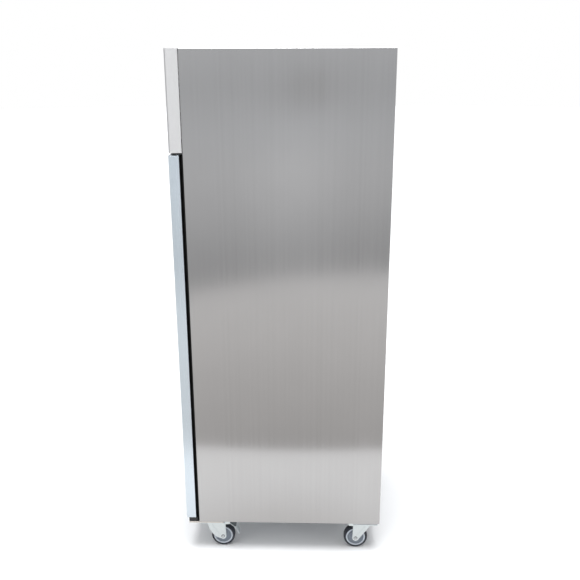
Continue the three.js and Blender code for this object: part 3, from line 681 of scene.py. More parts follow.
def side_panel(side, node):
    """One sheet: a wall folded in at the front and rear, with the top edge folded over; the top fold gets a
    lighter copy of the steel, a painted highlight.
    """
    inner, top = HALF_W - LIP, TOP_Z - FOLD_R
    bm = bmesh.new()
    path = fillet([(inner, FRONT_Y), (HALF_W, FRONT_Y), (HALF_W, REAR_Y), (inner, REAR_Y)], FOLD_R)
    add_upright_sheet(bm, path, -SHEET, PANEL_Z, top)
    rim = fillet([(HALF_W, top), (HALF_W, TOP_Z), (inner, TOP_Z)], FOLD_R * 0.98)
    inset = FOLD_R * 0.5
    run = (0, REAR_Y - FRONT_Y - 2 * inset, 0)
    add_sheet(bm, rim, -SHEET, lambda p: Vector((p.x, FRONT_Y + inset, p.y)), run)
    for vert in bm.verts:
        vert.co.x *= side
    sheet = piece_of(node + "_sheet", bm, side_steel, [node])
    # a lighter finish on the top fold: a painted highlight along the panel's top edge
    refinish(sheet, fold_highlight_and_shade_steel, lambda centre: centre.z > top)


side_panel(1, "side_panel_right")
side_panel(-1, "side_panel_left")


# ---------- pieces that keep a CAD node's shape ----------

def node_shape(node):
    """A bmesh of a CAD node as it is, with its flat faces merged."""
    bm = bmesh.new()
    bm.from_mesh(frame["nodes"][node].data)
    bmesh.ops.remove_doubles(bm, verts=bm.verts, dist=MERGE)
    bmesh.ops.dissolve_limit(bm, angle_limit=math.radians(1), verts=bm.verts, edges=bm.edges)
    return bm


def soften(name, node, material, ease, body="cabinet"):
    """Stands for a CAD node whose shape is right, with its edges eased."""
    piece_of(name, node_shape(node), material, [node], ease, body)


def recoat(node, material):
    """A finish for a CAD node that stays as it is."""
    frame["nodes"][node].material_slots[0].material = material


def box_about(node, side, rise, y0, y1):
    """The corners of a box round a CAD node, larger by a side and a rise in mm, from y0 to y1."""
    low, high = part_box(node)
    return (low.x - side * MM, y0, low.z - rise * MM), (high.x + side * MM, y1, high.z + rise * MM)


def front_axis(node):
    """Of a round CAD node that faces the front: the middle of its rear end, its radius and its length."""
    low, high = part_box(node)
    middle = (low + high) / 2
    return Vector((middle.x, high.y, middle.z)), (high.x - low.x) / 2, high.y - low.y


# ---------- fasteners ----------

def add_screw(bm, at, axis, radius, height):
    """A pan head with a sunk drive."""
    outer = [(0, 0), (radius, 0), (radius, 0.35 * height), (0.85 * radius, 0.8 * height)]
    drive = [(0.38 * radius, height), (0.3 * radius, 0.4 * height), (0, 0.4 * height)]
    add_lathe(bm, outer + [(0.5 * radius, height)] + drive, at, axis, 20)


def add_bolt(bm, at, axis, radius, height, washer):
    """A washer and a six-sided head with a rounded top. Sizes are in mm."""
    plate = 1.2 * MM
    add_disc(bm, at, axis, washer * MM, plate, 28)
    head = metres([(0, 0), (radius, 0), (radius, 0.8 * height), (0.82 * radius, height), (0, height)])
    add_lathe(bm, head, Vector(at) + Vector(axis) * plate, axis, 6)


def screws(name, spots, axis, radius=3.2 * MM, height=1.4 * MM):
    bm = bmesh.new()
    for spot in spots:
        add_screw(bm, spot, axis, radius, height)
    piece_of(name, bm, bolt_steel)


# ---------- back and base ----------

REAR_RECESS = 1.6 * MM  # the rear sheets lie this far inside the side panels' folds
RIB_HALF = 14 * MM
RIB_RISE = 1.2 * MM
VENT_PITCH = 22 * MM
VENT_HEIGHT = 9 * MM
REAR_VENTS = {"inner": 40 * MM, "outer": 290 * MM, "low": 108.2 * MM, "count": 9}
HOOD_SHEET = 0.9 * MM


def add_hood(bm, x0, x1, y, z, depth):
    """A pressed louvre: a thin blade that leans inwards below its slot's upper edge."""
    top, end, drop = z + VENT_HEIGHT, y + depth, 6 * MM
    outline = [(y, top), (y, top - HOOD_SHEET), (end, top - HOOD_SHEET - drop), (end, top - drop)]
    add_prism(bm, [(x0, *point) for point in outline], (x1 - x0, 0, 0))


def back_sheet():
    """The flat back with four pressed ribs, and a column of screws at each side."""
    low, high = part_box("back_panel")
    face = high.y - REAR_RECESS
    bm = bmesh.new()
    add_box(bm, (low.x, low.y - REAR_RECESS, low.z), (high.x, face, high.z))
    foot = low.z + 60 * MM
    half = [(-RIB_HALF, face - SHEET / 2), (-RIB_HALF, face), (-0.6 * RIB_HALF, face + RIB_RISE)]
    outline = half + [(-dx, y) for dx, y in reversed(half)]
    for x in (-210 * MM, -70 * MM, 70 * MM, 210 * MM):
        add_prism(bm, [(x + dx, y, foot) for dx, y in outline], (0, 0, high.z - low.z - 120 * MM))
    piece_of("back_sheet", bm, galvanised_sheet, ["back_panel"], 0.4)
    edge, end, rows = 12 * MM, 25 * MM, 7
    heights = [low.z + end + i * (high.z - low.z - 2 * end) / (rows - 1) for i in range(rows)]
    spots = [(x, face, z) for z in heights for x in (low.x + edge, high.x - edge)]
    screws("back_screws", spots, (0, 1, 0))


def rear_grille():
    low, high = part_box("rear_grille")
    bm = node_shape("rear_grille")
    for vert in bm.verts:
        vert.co.y -= REAR_RECESS
    piece_of("rear_grille_sheet", bm, galvanised_sheet, ["rear_grille"], 0.3)
    bm = bmesh.new()
    inner, outer = REAR_VENTS["inner"], REAR_VENTS["outer"]
    for n in range(REAR_VENTS["count"]):
        z = low.z + REAR_VENTS["low"] + n * VENT_PITCH
        for x0 in (-outer, inner):
            add_hood(bm, x0, x0 + outer - inner, low.y - REAR_RECESS, z, -9 * MM)
    piece_of("rear_louvres", bm, galvanised_sheet, (), 0.2)
    face, edge = high.y - REAR_RECESS, 10 * MM
    rows = (low.z + edge, (low.z + high.z) / 2, high.z - edge)
    spots = [(x, face, z) for x in (low.x + edge, high.x - edge) for z in rows]
    spots += [(0, face, rows[0]), (0, face, rows[2])]
    screws("rear_grille_screws", spots, (0, 1, 0))


def power_inlet():
    """The inlet's moulded body with three flat pins in it."""
    soften("inlet_body", "power_inlet", black_plastic, 0.8)
    low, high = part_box("power_inlet")
    middle = (low + high) / 2
    bm = bmesh.new()
    for dx, dz in ((-9, -2), (9, -2), (0, 3)):
        foot = Vector((middle.x, high.y, middle.z)) + mm(dx, 0, dz)
        add_box(bm, foot + mm(-1, -19, -2.2), foot + mm(1, -5, 2.2))
    piece_of("inlet_pins", bm, bolt_steel, (), 0.4)


def base():
    """The base tray, the foam and the deck, and the black frame about the cabin's mouth."""
    soften("base_tray", "base_pan", galvanised_sheet, 0.7)
    recoat("foam_body", foam_core)
    recoat("machine_deck", galvanised_sheet)
    low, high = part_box("breaker_frame")
    gap, foam_face = 0.1 * MM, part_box("foam_body")[0].y
    bm = node_shape("breaker_frame")
    add_box(bm, (low.x, high.y + gap, high.z - 1 * MM), (high.x, foam_face - gap, high.z + 13 * MM))
    # the frame takes the same near-black finish, partly black rubber and partly painted shade
    piece_of("face_frame", bm, seal_rubber, ["breaker_frame"], 0.6)


back_sheet()
rear_grille()
power_inlet()
base()


# ---------- header and controls ----------

HEADER_R = 5.5 * MM
INTAKE = {"x0": -30 * MM, "x1": 310 * MM, "lift": 62 * MM, "count": 11}
CUT = 12 * MM  # how far a cutting box goes to each side of a front sheet
SEGMENTS = {  # the middle of each, in digit widths and half heights
    "top": (0, 1),
    "top_right": (0.5, 0.5),
    "foot_right": (0.5, -0.5),
    "foot": (0, -1),
    "middle": (0, 0),
    "foot_left": (-0.5, -0.5),
    "top_left": (-0.5, 0.5),
}
THREE = ("top", "top_right", "middle", "foot_right", "foot")
EIGHT = tuple(SEGMENTS)


def add_shell(bm, low, high, radius):
    """A face at the front with rounded folds back along both sides, and flanges at the top and bottom."""
    path = fillet([(low.x, high.y), (low.x, low.y), (high.x, low.y), (high.x, high.y)], radius)
    add_upright_sheet(bm, path, -SHEET, low.z, high.z)
    inset = 0.7 * SHEET
    x0, x1, y = low.x + inset, high.x - inset, low.y + inset
    rim = fillet([(x0, high.y), (x0, y), (x1, y), (x1, high.y)], radius - inset)
    for z in (low.z, high.z - SHEET):
        add_prism(bm, [(p.x, p.y, z) for p in rim], (0, 0, SHEET))


def header():
    """The header's shell, cut for the controls and the upper hinge, and its louvres."""
    low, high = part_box("header_panel")
    bm, holes, louvres = bmesh.new(), bmesh.new(), bmesh.new()
    add_shell(bm, low, high, HEADER_R)
    near, far = low.y - CUT, low.y + CUT
    for n in range(INTAKE["count"]):
        z = low.z + INTAKE["lift"] + n * VENT_PITCH
        add_box(holes, (INTAKE["x0"], near, z), (INTAKE["x1"], far, z + VENT_HEIGHT))
        add_hood(louvres, INTAKE["x0"], INTAKE["x1"], low.y + 0.2 * MM, z, 11 * MM)
    add_box(holes, *box_about("controller_bezel", -4, -4, near, far))
    add_box(holes, *box_about("power_switch", 4, 4, near, far))
    hinge_low, hinge_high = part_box("hinge_bracket_top")
    add_box(holes, (-high.x + 2 * MM, hinge_low.y + 38 * MM, low.z - SHEET),
            (hinge_high.x + 1 * MM, high.y + 1 * MM, low.z + 2 * SHEET))
    shell = piece_of("header_shell", bm, header_steel, ["header_panel"], 0.35, holes=holes)
    side, front = high.x - HEADER_R, low.y + HEADER_R
    # the front folds get the fully metallic fold steel, which reads darker than the face: a painted shade
    # along the corner
    refinish(shell, fold_highlight_and_shade_steel, lambda centre: abs(centre.x) > side and centre.y < front)
    piece_of("intake_louvres", louvres, header_steel, (), 0.2)


def display(face, centre):
    """A dark window in the bezel with two lit seven-segment digits."""
    bm = bmesh.new()
    middle = Vector((centre.x, face, centre.z))
    add_box(bm, middle + mm(-37.5, 0.3, -17.5), middle + mm(37.5, 1, 17.5))
    piece_of("display_window", bm, window_plastic, (), 0.2)
    bm = bmesh.new()
    high, wide, bar = 10, 11, 1.7
    for offset, segments in ((-9.5, THREE), (9.5, EIGHT)):
        for dx, dz in (SEGMENTS[segment] for segment in segments):
            at = middle + mm(offset + dx * wide, 0, dz * high)
            half_x = bar / 2 if dx else wide / 2 - bar * 0.7
            half_z = high / 2 - bar * 0.7 if dx else bar / 2
            add_box(bm, at + mm(-half_x, 0.1, -half_z), at + mm(half_x, 0.4, half_z))
    piece_of("display_digits", bm, digit_glow, (), 0.1)


def button(node, sign):
    """A round key with a dished top and a raised arrow or dot."""
    foot, radius, length = front_axis(node)
    rim = length - 0.2 * MM
    profile = [(0, 0), (radius, 0), (radius, rim - 1.2 * MM), (radius - 0.5 * MM, rim - 0.3 * MM)]
    profile += [(radius - 1.2 * MM, rim), (radius - 2 * MM, rim - 0.2 * MM), (0, rim - 0.7 * MM)]
    bm = bmesh.new()
    add_lathe(bm, profile, foot, (0, -1, 0), 40)
    mark = foot - Vector((0, length - 0.5 * MM, 0))
    if sign:
        arrow = [mark + mm(x, 0, sign * z) for x, z in ((-2.4, -1.4), (2.4, -1.4), (0, 2.4))]
        add_prism(bm, arrow, mm(0, 1.2, 0))
    else:
        add_disc(bm, mark + mm(0, 1.2, 0), (0, -1, 0), 2 * MM, 1.2 * MM)
    piece_of(node + "_key", bm, grey_plastic, [node], body=node)


def hollow_box(name, outer, inner):
    """A black plastic box with a smaller box taken out of it."""
    bm, hollow = bmesh.new(), bmesh.new()
    add_box(bm, *outer)
    add_box(hollow, *inner)
    piece_of(name, bm, black_plastic, (), 0.4, holes=hollow)


def controls():
    """The controller, and the power switch with a frame round it and a housing behind it."""
    soften("bezel", "controller_bezel", black_plastic, 0.9)
    low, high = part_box("controller_bezel")
    display(low.y + 0.1 * MM, (low + high) / 2 - mm(34, 0, 0))
    for node, sign in (("button_up", 1), ("button_down", -1), ("button_set", 0)):
        button(node, sign)
    soften("rocker_cap", "power_switch", black_plastic, 1, "power_switch")
    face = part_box("header_panel")[0].y
    front, near, far = face - 1.6 * MM, face + SHEET + 0.3 * MM, face + 23 * MM
    hollow_box("switch_surround", box_about("power_switch", 6, 6, front, face),
               box_about("power_switch", 0.6, 1.5, front - 1 * MM, face + 1 * MM))
    hollow_box("switch_housing", box_about("power_switch", 6, 6, near, far),
               box_about("power_switch", 4.6, 4.6, near - 1 * MM, far - 1.4 * MM))


header()
controls()


# ---------- door ----------

def door_shell():
    """The door's skin, cut for the grip, the lock and the hinge pins."""
    low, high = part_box("door_skin")
    bm, holes = bmesh.new(), bmesh.new()
    add_shell(bm, low, high, 4 * MM)
    reach = 5 * MM
    add_box(holes, *box_about("handle_cup", 0, 0, low.y - reach, low.y + reach))
    lock_foot, lock_r = front_axis("lock_cylinder")[:2]
    start = (lock_foot.x, low.y - reach, lock_foot.z)
    add_disc(holes, start, (0, 1, 0), lock_r + 0.3 * MM, 12 * MM, 40, 0)
    for z in (low.z - reach, high.z - reach):
        add_disc(holes, (*HINGE, z), (0, 0, 1), 6.6 * MM, 2 * reach, 32, 0)
    piece_of("door_shell", bm, door_steel, ["door_skin"], 0.35, "door", holes=holes)


def door_inner():
    """A pressed inner panel: a flat border, and a raised tray with drafted sides and a groove in it."""
    low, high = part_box("door_liner")
    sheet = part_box("door_skin")[1].y
    rise = high.y - sheet
    foot_low, foot_high, corner = mm(-265, 0, 222), mm(265, 0, 1629), 14 * MM
    rings = [rounded_loop(low, high, 0, y, 2 * MM) for y in (low.y, sheet)]
    for inset, y in ((0, 0), (1.2, 0.5 * MM), (3, 0.9 * rise), (4.2, 0.985 * rise), (7, rise)):
        inset *= MM
        rings.append(rounded_loop(foot_low, foot_high, inset, sheet + y, corner - inset / 2))
    for inset, dip in ((34, 0), (38, 1.2), (46, 1.2), (50, 0)):
        rings.append(rounded_loop(foot_low, foot_high, inset * MM, high.y - dip * MM, corner))
    bm = bmesh.new()
    add_strip(bm, rings)
    piece_of("door_inner_panel", bm, cabin_steel, ["door_liner"], body="door")


def door_core():
    """The foam in the door, drawn in a little where it fills the tray."""
    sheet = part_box("door_skin")[1].y
    low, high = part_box("door_foam")
    middle = (low.z + high.z) / 2
    bm = node_shape("door_foam")
    for vert in bm.verts:
        if vert.co.y > sheet:
            vert.co.x -= math.copysign(9 * MM, vert.co.x)
            vert.co.z -= math.copysign(9 * MM, vert.co.z - middle)
            vert.co.y -= 4 * MM
    piece_of("door_core", bm, foam_core, ["door_foam"], 1, "door")


def gasket():
    """A soft seal: a dart base, two pleats and a flat magnet face."""
    low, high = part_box("door_gasket")
    door_low, door_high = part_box("door_skin")
    section = [(1, 0), (25, 0), (25.5, 0.14), (23.5, 0.26), (25.8, 0.4), (23, 0.56), (25.5, 0.7)]
    section += [(25, 0.92), (23.5, 1), (6, 1), (4.5, 0.92), (4, 0.72), (1.6, 0.62), (0, 0.45), (0, 0.2)]
    points = [(inset * MM, low.y + share * (high.y - low.y)) for inset, share in section]
    margin = 3 * MM
    corners = Vector((low.x, 0, door_low.z + margin)), Vector((high.x, 0, door_high.z - margin))
    bm = bmesh.new()
    add_loop_sweep(bm, points, *corners, 8 * MM)
    # the seal's near-black finish is partly black rubber and partly painted shade of the gap beside the
    # door
    piece_of("door_seal", bm, seal_rubber, ["door_gasket"], body="door")


def grip():
    """A moulded cup with a rolled lip and a scooped floor."""
    low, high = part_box("handle_cup")
    face, deep = low.y + 0.4 * MM, high.y - 2 * MM
    path = [(0, high.y), (0, face + 2 * MM), (0.3, face), (1.2, face), (2, face + 0.8 * MM)]
    path += [(2.4, face + 3 * MM), (3, deep - 5 * MM), (6, deep - 1 * MM), (9, deep)]
    bm = bmesh.new()
    add_strip(bm, [rounded_loop(low, high, inset * MM, y, 5 * MM) for inset, y in path])
    piece_of("finger_grip", bm, black_plastic, ["handle_cup"], body="door")


def lock():
    """A turned barrel with a sunk face and a keyway."""
    foot, radius, length = front_axis("lock_cylinder")
    edge = length - 0.1 * MM
    profile = [(0, 0), (radius, 0), (radius, edge - 0.8 * MM), (radius - 0.8 * MM, edge)]
    profile += [(radius - 2.4 * MM, edge), (radius - 2.8 * MM, edge - 0.5 * MM), (0, edge - 0.5 * MM)]
    bm, keyway = bmesh.new(), bmesh.new()
    add_lathe(bm, profile, foot, (0, -1, 0))
    tip = foot - Vector((0, length, 0))
    add_box(keyway, tip + mm(-0.8, -1, -3.6), tip + mm(0.8, 8, 3.6))
    piece_of("lock_barrel", bm, bolt_steel, ["lock_cylinder"], body="lock_cylinder", holes=keyway)


door_shell()
door_inner()
door_core()
gasket()
grip()
lock()


# ---------- hinges ----------

def hinges():
    """Both hinge plates, the lower one's bolts, and the dark block between it and the door. The upper plate
    is black as painted shade of the gap under the header, and the block is a bush that is also painted
    shade under the door.
    """
    soften("lower_hinge", "hinge_bracket_bottom", hinge_steel, 0.8)
    # the upper plate is drawn in black enamel: painted shade of the gap between the header and the door
    soften("upper_hinge", "hinge_bracket_top", enamel, 0.6)
    low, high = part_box("hinge_bracket_bottom")
    corner = Vector((high.x, FRONT_Y, low.z))
    bm = bmesh.new()
    for x, y in ((-62, 20), (-62, 78), (-14, 92)):
        add_bolt(bm, corner + mm(x, y, 0), (0, 0, -1), 4.5, 3, 6.5)
    piece_of("lower_hinge_bolts", bm, bolt_steel)
    bm = bmesh.new()
    x0, x1, y0, y1 = HINGE.x - 22 * MM, HINGE.x + 16 * MM, HINGE.y - 11 * MM, HINGE.y + 26 * MM
    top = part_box("door_skin")[0].z - 0.7 * MM
    add_prism(bm, rounded_plan(x0, x1, y0, y1, PANEL_Z, 4 * MM), (0, 0, top - PANEL_Z))
    # a black block: partly a hinge bush, partly painted shade between the door's bottom and the plate
    piece_of("hinge_bush_and_shade", bm, black_plastic, (), 1)


hinges()


# ---------- cabin ----------

SHELF_COUNT = 3
SHELF_PITCH = 25 * MM  # between the long wires of a shelf
PILASTER_SHEET = 1.4 * MM
SLOT_PITCH = 25.4 * MM


def add_clips(channel, face, middle, side):
    """A bent steel clip under each shelf: a tongue, a shoulder against the face and an upturned end.

    It also puts the channel on its own side of the cabin."""
    bm = bmesh.new()
    bm.from_mesh(channel.data)
    near = middle - 6.5 * MM
    for n in range(SHELF_COUNT):
        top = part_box(f"shelf_{n + 1}")[0].z - 0.3 * MM
        tongue = top - 1.5 * MM
        corners = [(face - 0.2 * MM, top - 14 * MM), (face - 2 * MM, tongue), (face - 16 * MM, tongue)]
        bend = fillet(corners, 1.5 * MM)
        add_sheet(bm, bend, PILASTER_SHEET, lambda p: Vector((p.x, near, p.y)), (0, 13 * MM, 0))
    for vert in bm.verts:
        vert.co.x *= side
    bmesh.ops.recalc_face_normals(bm, faces=bm.faces)
    settle(bm, channel.data)


def pilaster(node):
    """A slotted channel with its open side to the wall, and its clips."""
    low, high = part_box(node)
    wall = max(abs(low.x), abs(high.x))
    face = wall - 12 * MM
    middle = (low.y + high.y) / 2
    bm, slots = bmesh.new(), bmesh.new()
    path = fillet([(wall, low.y), (face, low.y), (face, high.y), (wall, high.y)], 2.2 * MM)
    add_upright_sheet(bm, path, PILASTER_SHEET, low.z, high.z)
    for i in range(int((high.z - low.z - 20 * MM) / SLOT_PITCH)):
        foot = Vector((face, middle, low.z + 14 * MM + i * SLOT_PITCH))
        add_box(slots, foot + mm(-2, -1.7, 0), foot + mm(3, 1.7, 11))
    channel = piece_of(node + "_channel", bm, cabin_steel, [node], holes=slots)
    add_clips(channel, face, middle, 1 if high.x > 0 else -1)


def wire_shelf(node):
    """A coated wire shelf: a round rim, long wires on top and three cross wires under them."""
    low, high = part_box(node)
    rim, wire, cross = 2.4 * MM, 1.3 * MM, 1.7 * MM
    x0, x1, y0, y1 = low.x + rim, high.x - rim, low.y + rim, high.y - rim
    bm = bmesh.new()
    add_ring_tube(bm, rounded_plan(x0, x1, y0, y1, low.z + rim, 12 * MM), rim)
    count = int((high.x - low.x - 20 * MM) / SHELF_PITCH)
    for i in range(count + 1):
        x, z = (i - count / 2) * SHELF_PITCH, high.z - wire
        add_tube(bm, [(x, y0, z), (x, y1, z)], wire, 8)
    for share in (0.2, 0.5, 0.8):
        y, z = low.y + share * (high.y - low.y), low.z + cross
        add_tube(bm, [(x0, y, z), (x1, y, z)], cross, 8)
    piece_of("wire_" + node, bm, shelf_coat, [node], body=node)


def finned_coil(name, node):
    """A stack of thin upright fins on tubes, with end plates and hairpin bends outside them."""
    low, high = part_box(node)
    bend, plate, overhang = 11 * MM, 1.2 * MM, 3 * MM
    x0, x1 = low.x + bend, high.x - bend
    pitch, fin = 4 * MM, 0.5 * MM
    count = int((x1 - x0 - pitch) / pitch)
    bm = bmesh.new()
    for i in range(count + 1):
        x = (x0 + x1 - count * pitch) / 2 + i * pitch
        add_box(bm, (x - fin / 2, low.y + overhang, low.z + overhang),
                (x + fin / 2, high.y - overhang, high.z - overhang))
    for x in (x0, x1 - plate):
        add_box(bm, (x, low.y, low.z), (x + plate, high.y, high.z))
    piece_of(name + "_fins", bm, aluminium, [node])
    tubes = bmesh.new()
    rows = max(3, int((high.z - low.z) / (26 * MM)))
    middle, half, steps = (low.y + high.y) / 2, 0.22 * (high.y - low.y), 8
    for row in range(rows):
        z = low.z + (row + 0.5) * (high.z - low.z) / rows
        for inner, reach in ((x0, -6 * MM), (x1, 6 * MM)):
            angles = [math.pi * i / steps for i in range(steps + 1)]
            path = [(inner + math.sin(a) * reach, middle - math.cos(a) * half, z) for a in angles]
            add_tube(tubes, path, 4 * MM, 10)
    piece_of(name + "_bends", tubes, copper)


def add_blade(bm, root_r, tip_r, turn):
    """One fan blade as a thin curved solid from its root to its tip, spinning about Y."""
    chord, pitch, sweep, thick = tip_r * 0.62, math.radians(24), 0.25, 1.6 * MM
    steps, spans = 8, 6
    rings = []
    for s in range(spans + 1):
        share = s / spans
        radius = root_r + share * (tip_r - root_r)
        width = chord * (0.62 + 0.5 * math.sin(math.pi * (0.25 + 0.6 * share)))
        front, back = [], []
        for c in range(steps + 1):
            across = (c / steps - 0.5) * width
            depth = across * math.sin(pitch) + 0.09 * width * math.cos(math.pi * (c / steps - 0.5))
            angle = turn + sweep * share + across * math.cos(pitch) / radius
            for row, y in ((front, depth - thick / 2), (back, depth + thick / 2)):
                row.append((radius * math.sin(angle), y, radius * math.cos(angle)))
        rings.append(front + back[::-1])
    made = skin(bm, rings)
    for ring in (made[0], made[-1]):
        for c in range(steps):
            bm.faces.new((ring[c], ring[c + 1], ring[-c - 2], ring[-c - 1]))


def fan(name, node, material, hub_r, half):
    """Blades on a hub with an eased nose. The hub's radius and half its depth are in mm."""
    low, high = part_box(node)
    pivot = pivot_of(node)
    tip_r = high.z - pivot.z - 0.5 * MM
    blades = 5
    bm = bmesh.new()
    for n in range(blades):
        add_blade(bm, hub_r * MM * 0.8, tip_r, n * 2 * math.pi / blades)
    nose = [(0, -half), (hub_r * 0.7, -half), (hub_r * 0.92, 0.3 - half * 0.8), (hub_r, -half * 0.5)]
    add_lathe(bm, metres(nose + [(hub_r, half), (0, half)]), (0, 0, 0), (0, 1, 0), 40)
    place = Vector((pivot.x, (low.y + high.y) / 2, pivot.z))
    bmesh.ops.translate(bm, verts=bm.verts, vec=place)
    piece_of(name, bm, material, [node], body=node)


def fan_guard(name, centre, radius):
    """A round wire guard in a plane across Y, slightly domed."""
    bm = bmesh.new()
    dome, wire, rings, spokes = 5 * MM, 1.1 * MM, 6, 8
    wire_ring = ring_of(Vector((0, 0)), Vector((1, 0)), Vector((0, 1)), wire, 6)
    for n in range(1, rings + 1):
        r, y = radius * n / rings, centre.y - dome * (1 - (n / rings) ** 2)
        add_lathe(bm, [(r + p.x, p.y) for p in wire_ring], (centre.x, y, centre.z), (0, -1, 0))
    for n in range(spokes):
        angle = 2 * math.pi * n / spokes
        path = []
        for i in range(5):
            share = 0.12 + 0.9 * i / 4
            r, y = radius * share, wire - dome * (1 - min(1, share) ** 2)
            path.append(centre + Vector((r * math.sin(angle), y, r * math.cos(angle))))
        add_tube(bm, path, wire, 8)
    piece_of(name, bm, bolt_steel)


def evaporator():
    soften("evaporator_case", "evaporator_cover", aluminium, 1.2)
    low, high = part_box("evaporator_cover")
    pivot = pivot_of("evaporator_fan")
    fan_guard("evaporator_guard", Vector((pivot.x, low.y - 1.5 * MM, pivot.z)), 70 * MM)
    edge = 14 * MM
    spots = [(x, low.y, z) for x in (low.x + edge, high.x - edge) for z in (low.z + edge, high.z - edge)]
    screws("evaporator_screws", spots, (0, -1, 0), 3.6 * MM, 2 * MM)
    finned_coil("evaporator", "evaporator_coil")
    fan("evaporator_blades", "evaporator_fan", black_plastic, 17, 9)
    soften("evaporator_motor_can", "evaporator_motor", galvanised_sheet, 1)


def lamp():
    """A ceiling lamp near the door: a metal frame and a ribbed lens."""
    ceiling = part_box("evaporator_cover")[1].z
    half_x, y0, y1, rim = 75 * MM, -300 * MM, -235 * MM, 8 * MM
    bm = bmesh.new()
    section = metres([(0, 0), (8, 0), (8, 7), (3, 9), (0, 5)])
    add_loop_sweep(bm, section, Vector((-half_x, 0, y0)), Vector((half_x, 0, y1)), 9 * MM)
    for vert in bm.verts:
        vert.co.y, vert.co.z = vert.co.z, ceiling - vert.co.y
    piece_of("lamp_frame", bm, cabin_steel)
    bm = bmesh.new()
    ribs = 12
    half = (half_x - rim) / ribs
    for i in range(ribs):
        middle = rim - half_x + (2 * i + 1) * half
        rib = ((-half, 0), (-half, 5), (0, 8), (half, 5), (half, 0))
        outline = [(middle + dx, y0 + rim, ceiling - (0.2 + h) * MM) for dx, h in rib]
        add_prism(bm, outline, (0, y1 - y0 - 2 * rim, 0))
    piece_of("lamp_lens", bm, lamp_glow)


def cabin():
    soften("cabin_liner", "liner", cabin_steel, 0.5)
    for corner in CORNERS:
        pilaster("pilaster_" + corner)
    for n in range(SHELF_COUNT):
        wire_shelf(f"shelf_{n + 1}")
    evaporator()
    lamp()


cabin()


# ---------- machine compartment ----------

def compressor():
    """A welded shell on a plate with four feet, its terminal cover and its two pipes."""
    low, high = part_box("compressor")
    centre = Vector(((low.x + high.x) / 2, (low.y + high.y) / 2, low.z))
    profile = [(0, 14), (58, 14), (70, 18), (77, 28), (77, 84), (79.5, 86), (79.5, 94), (77, 96), (74, 118)]
    profile += [(64, 142), (46, 160), (24, 171), (0, 175)]
    bm = bmesh.new()
    add_lathe(bm, metres(profile), centre, (0, 0, 1), 64)
    for x, y in ((-74, -46), (-74, 46), (74, -46), (74, 46)):
        add_disc(bm, centre + mm(x, y, 0), (0, 0, 1), 11 * MM, 10 * MM)
    plate = rounded_plan(low.x, high.x, low.y, high.y, low.z + 10 * MM, 12 * MM)
    add_prism(bm, plate, (0, 0, 3 * MM))
    piece_of("compressor_shell", bm, enamel, ["compressor"], 0.8)
    bm = bmesh.new()
    cover = centre + mm(0, -84, 62)
    add_box(bm, cover + mm(-26, -8, -24), cover + mm(26, 14, 24))
    piece_of("terminal_cover", bm, black_plastic, (), 3, segments=3)
    bm = bmesh.new()
    discharge = ((0, 0, 0), (30, -6, 4), (52, -40, 10), (58, -110, 10), (64, -190, -4))
    suction = ((0, 0, 0), (6, 30, 20), (60, 60, 26), (180, 70, 6), (260, 60, -60), (264, 56, -119))
    for start, route, radius in ((mm(70, -20, 116), discharge, 4), (mm(30, 66, 120), suction, 5)):
        add_tube(bm, smooth_path([centre + start + mm(*point) for point in route]), radius * MM)
    piece_of("refrigerant_lines", bm, copper)


def drier():
    """The filter drier: a can that narrows to a tube at each end, on the liquid line."""
    low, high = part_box("filter_drier")
    foot = Vector((low.x + 13 * MM, high.y - 13 * MM, low.z))
    profile = [(0, 0), (4, 0), (4, 4), (12.5, 14), (12.5, 54), (4, 64), (4, 68), (0, 68)]
    bm = bmesh.new()
    add_lathe(bm, metres(profile), foot, (0, 0, 1), 36)
    points = ((0, 0, 62), (6, -4, 80), (30, -20, 98), (80, -60, 98), (110, -130, 72), (110, -186, 60))
    add_tube(bm, smooth_path([foot + mm(*point) for point in points]), 4 * MM)
    piece_of("liquid_line", bm, copper, ["filter_drier"])


def condenser():
    """The coil, its duct and fan, and the motor with cooling fins round it."""
    finned_coil("condenser", "condenser_coil")
    soften("condenser_duct", "condenser_shroud", galvanised_sheet, 0.8)
    fan("condenser_blades", "condenser_fan", aluminium, 26, 13)
    soften("condenser_motor_stand", "condenser_motor", enamel, 1)
    low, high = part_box("condenser_motor")
    pivot = pivot_of("condenser_fan")
    fin = metres([(41, -1), (44.5, -1), (44.5, 1), (41, 1)])
    bm = bmesh.new()
    for i in range(9):
        y = (low.y + high.y) / 2 + (i - 4) * 6 * MM
        add_lathe(bm, fin, (pivot.x, y, pivot.z), (0, 1, 0), 40)
    piece_of("motor_fins", bm, enamel, (), 0.3)


def electrical_box():
    """A sheet box with a lid, its screws and three cable glands."""
    soften("electrical_case", "electrical_box", galvanised_sheet, 1.2)
    low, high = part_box("electrical_box")
    lid, edge = 1.5 * MM, 10 * MM
    bm = bmesh.new()
    add_box(bm, (low.x - lid * 0.5, low.y - lid * 0.5, high.z - 18 * MM), high + Vector((lid, lid, lid)))
    piece_of("electrical_lid", bm, galvanised_sheet, (), 1)
    spots = [(x, y, high.z + lid) for x in (low.x + edge, high.x - edge)
             for y in (low.y + edge, high.y - edge)]
    screws("electrical_screws", spots, (0, 0, 1))
    gland = metres([(0, 0), (10, 0), (10, 4), (7.5, 5), (7.5, 14), (5, 17), (0, 17)])
    bm = bmesh.new()
    for n in range(3):
        add_lathe(bm, gland, Vector((high.x, low.y, low.z)) + mm(0, 40 + 45 * n, 36), (1, 0, 0), 24)
    piece_of("cable_glands", bm, black_plastic)


compressor()
drier()
condenser()
electrical_box()


# ---------- casters: sizes in mm from the swivel axis on the floor, Y is the trail ----------

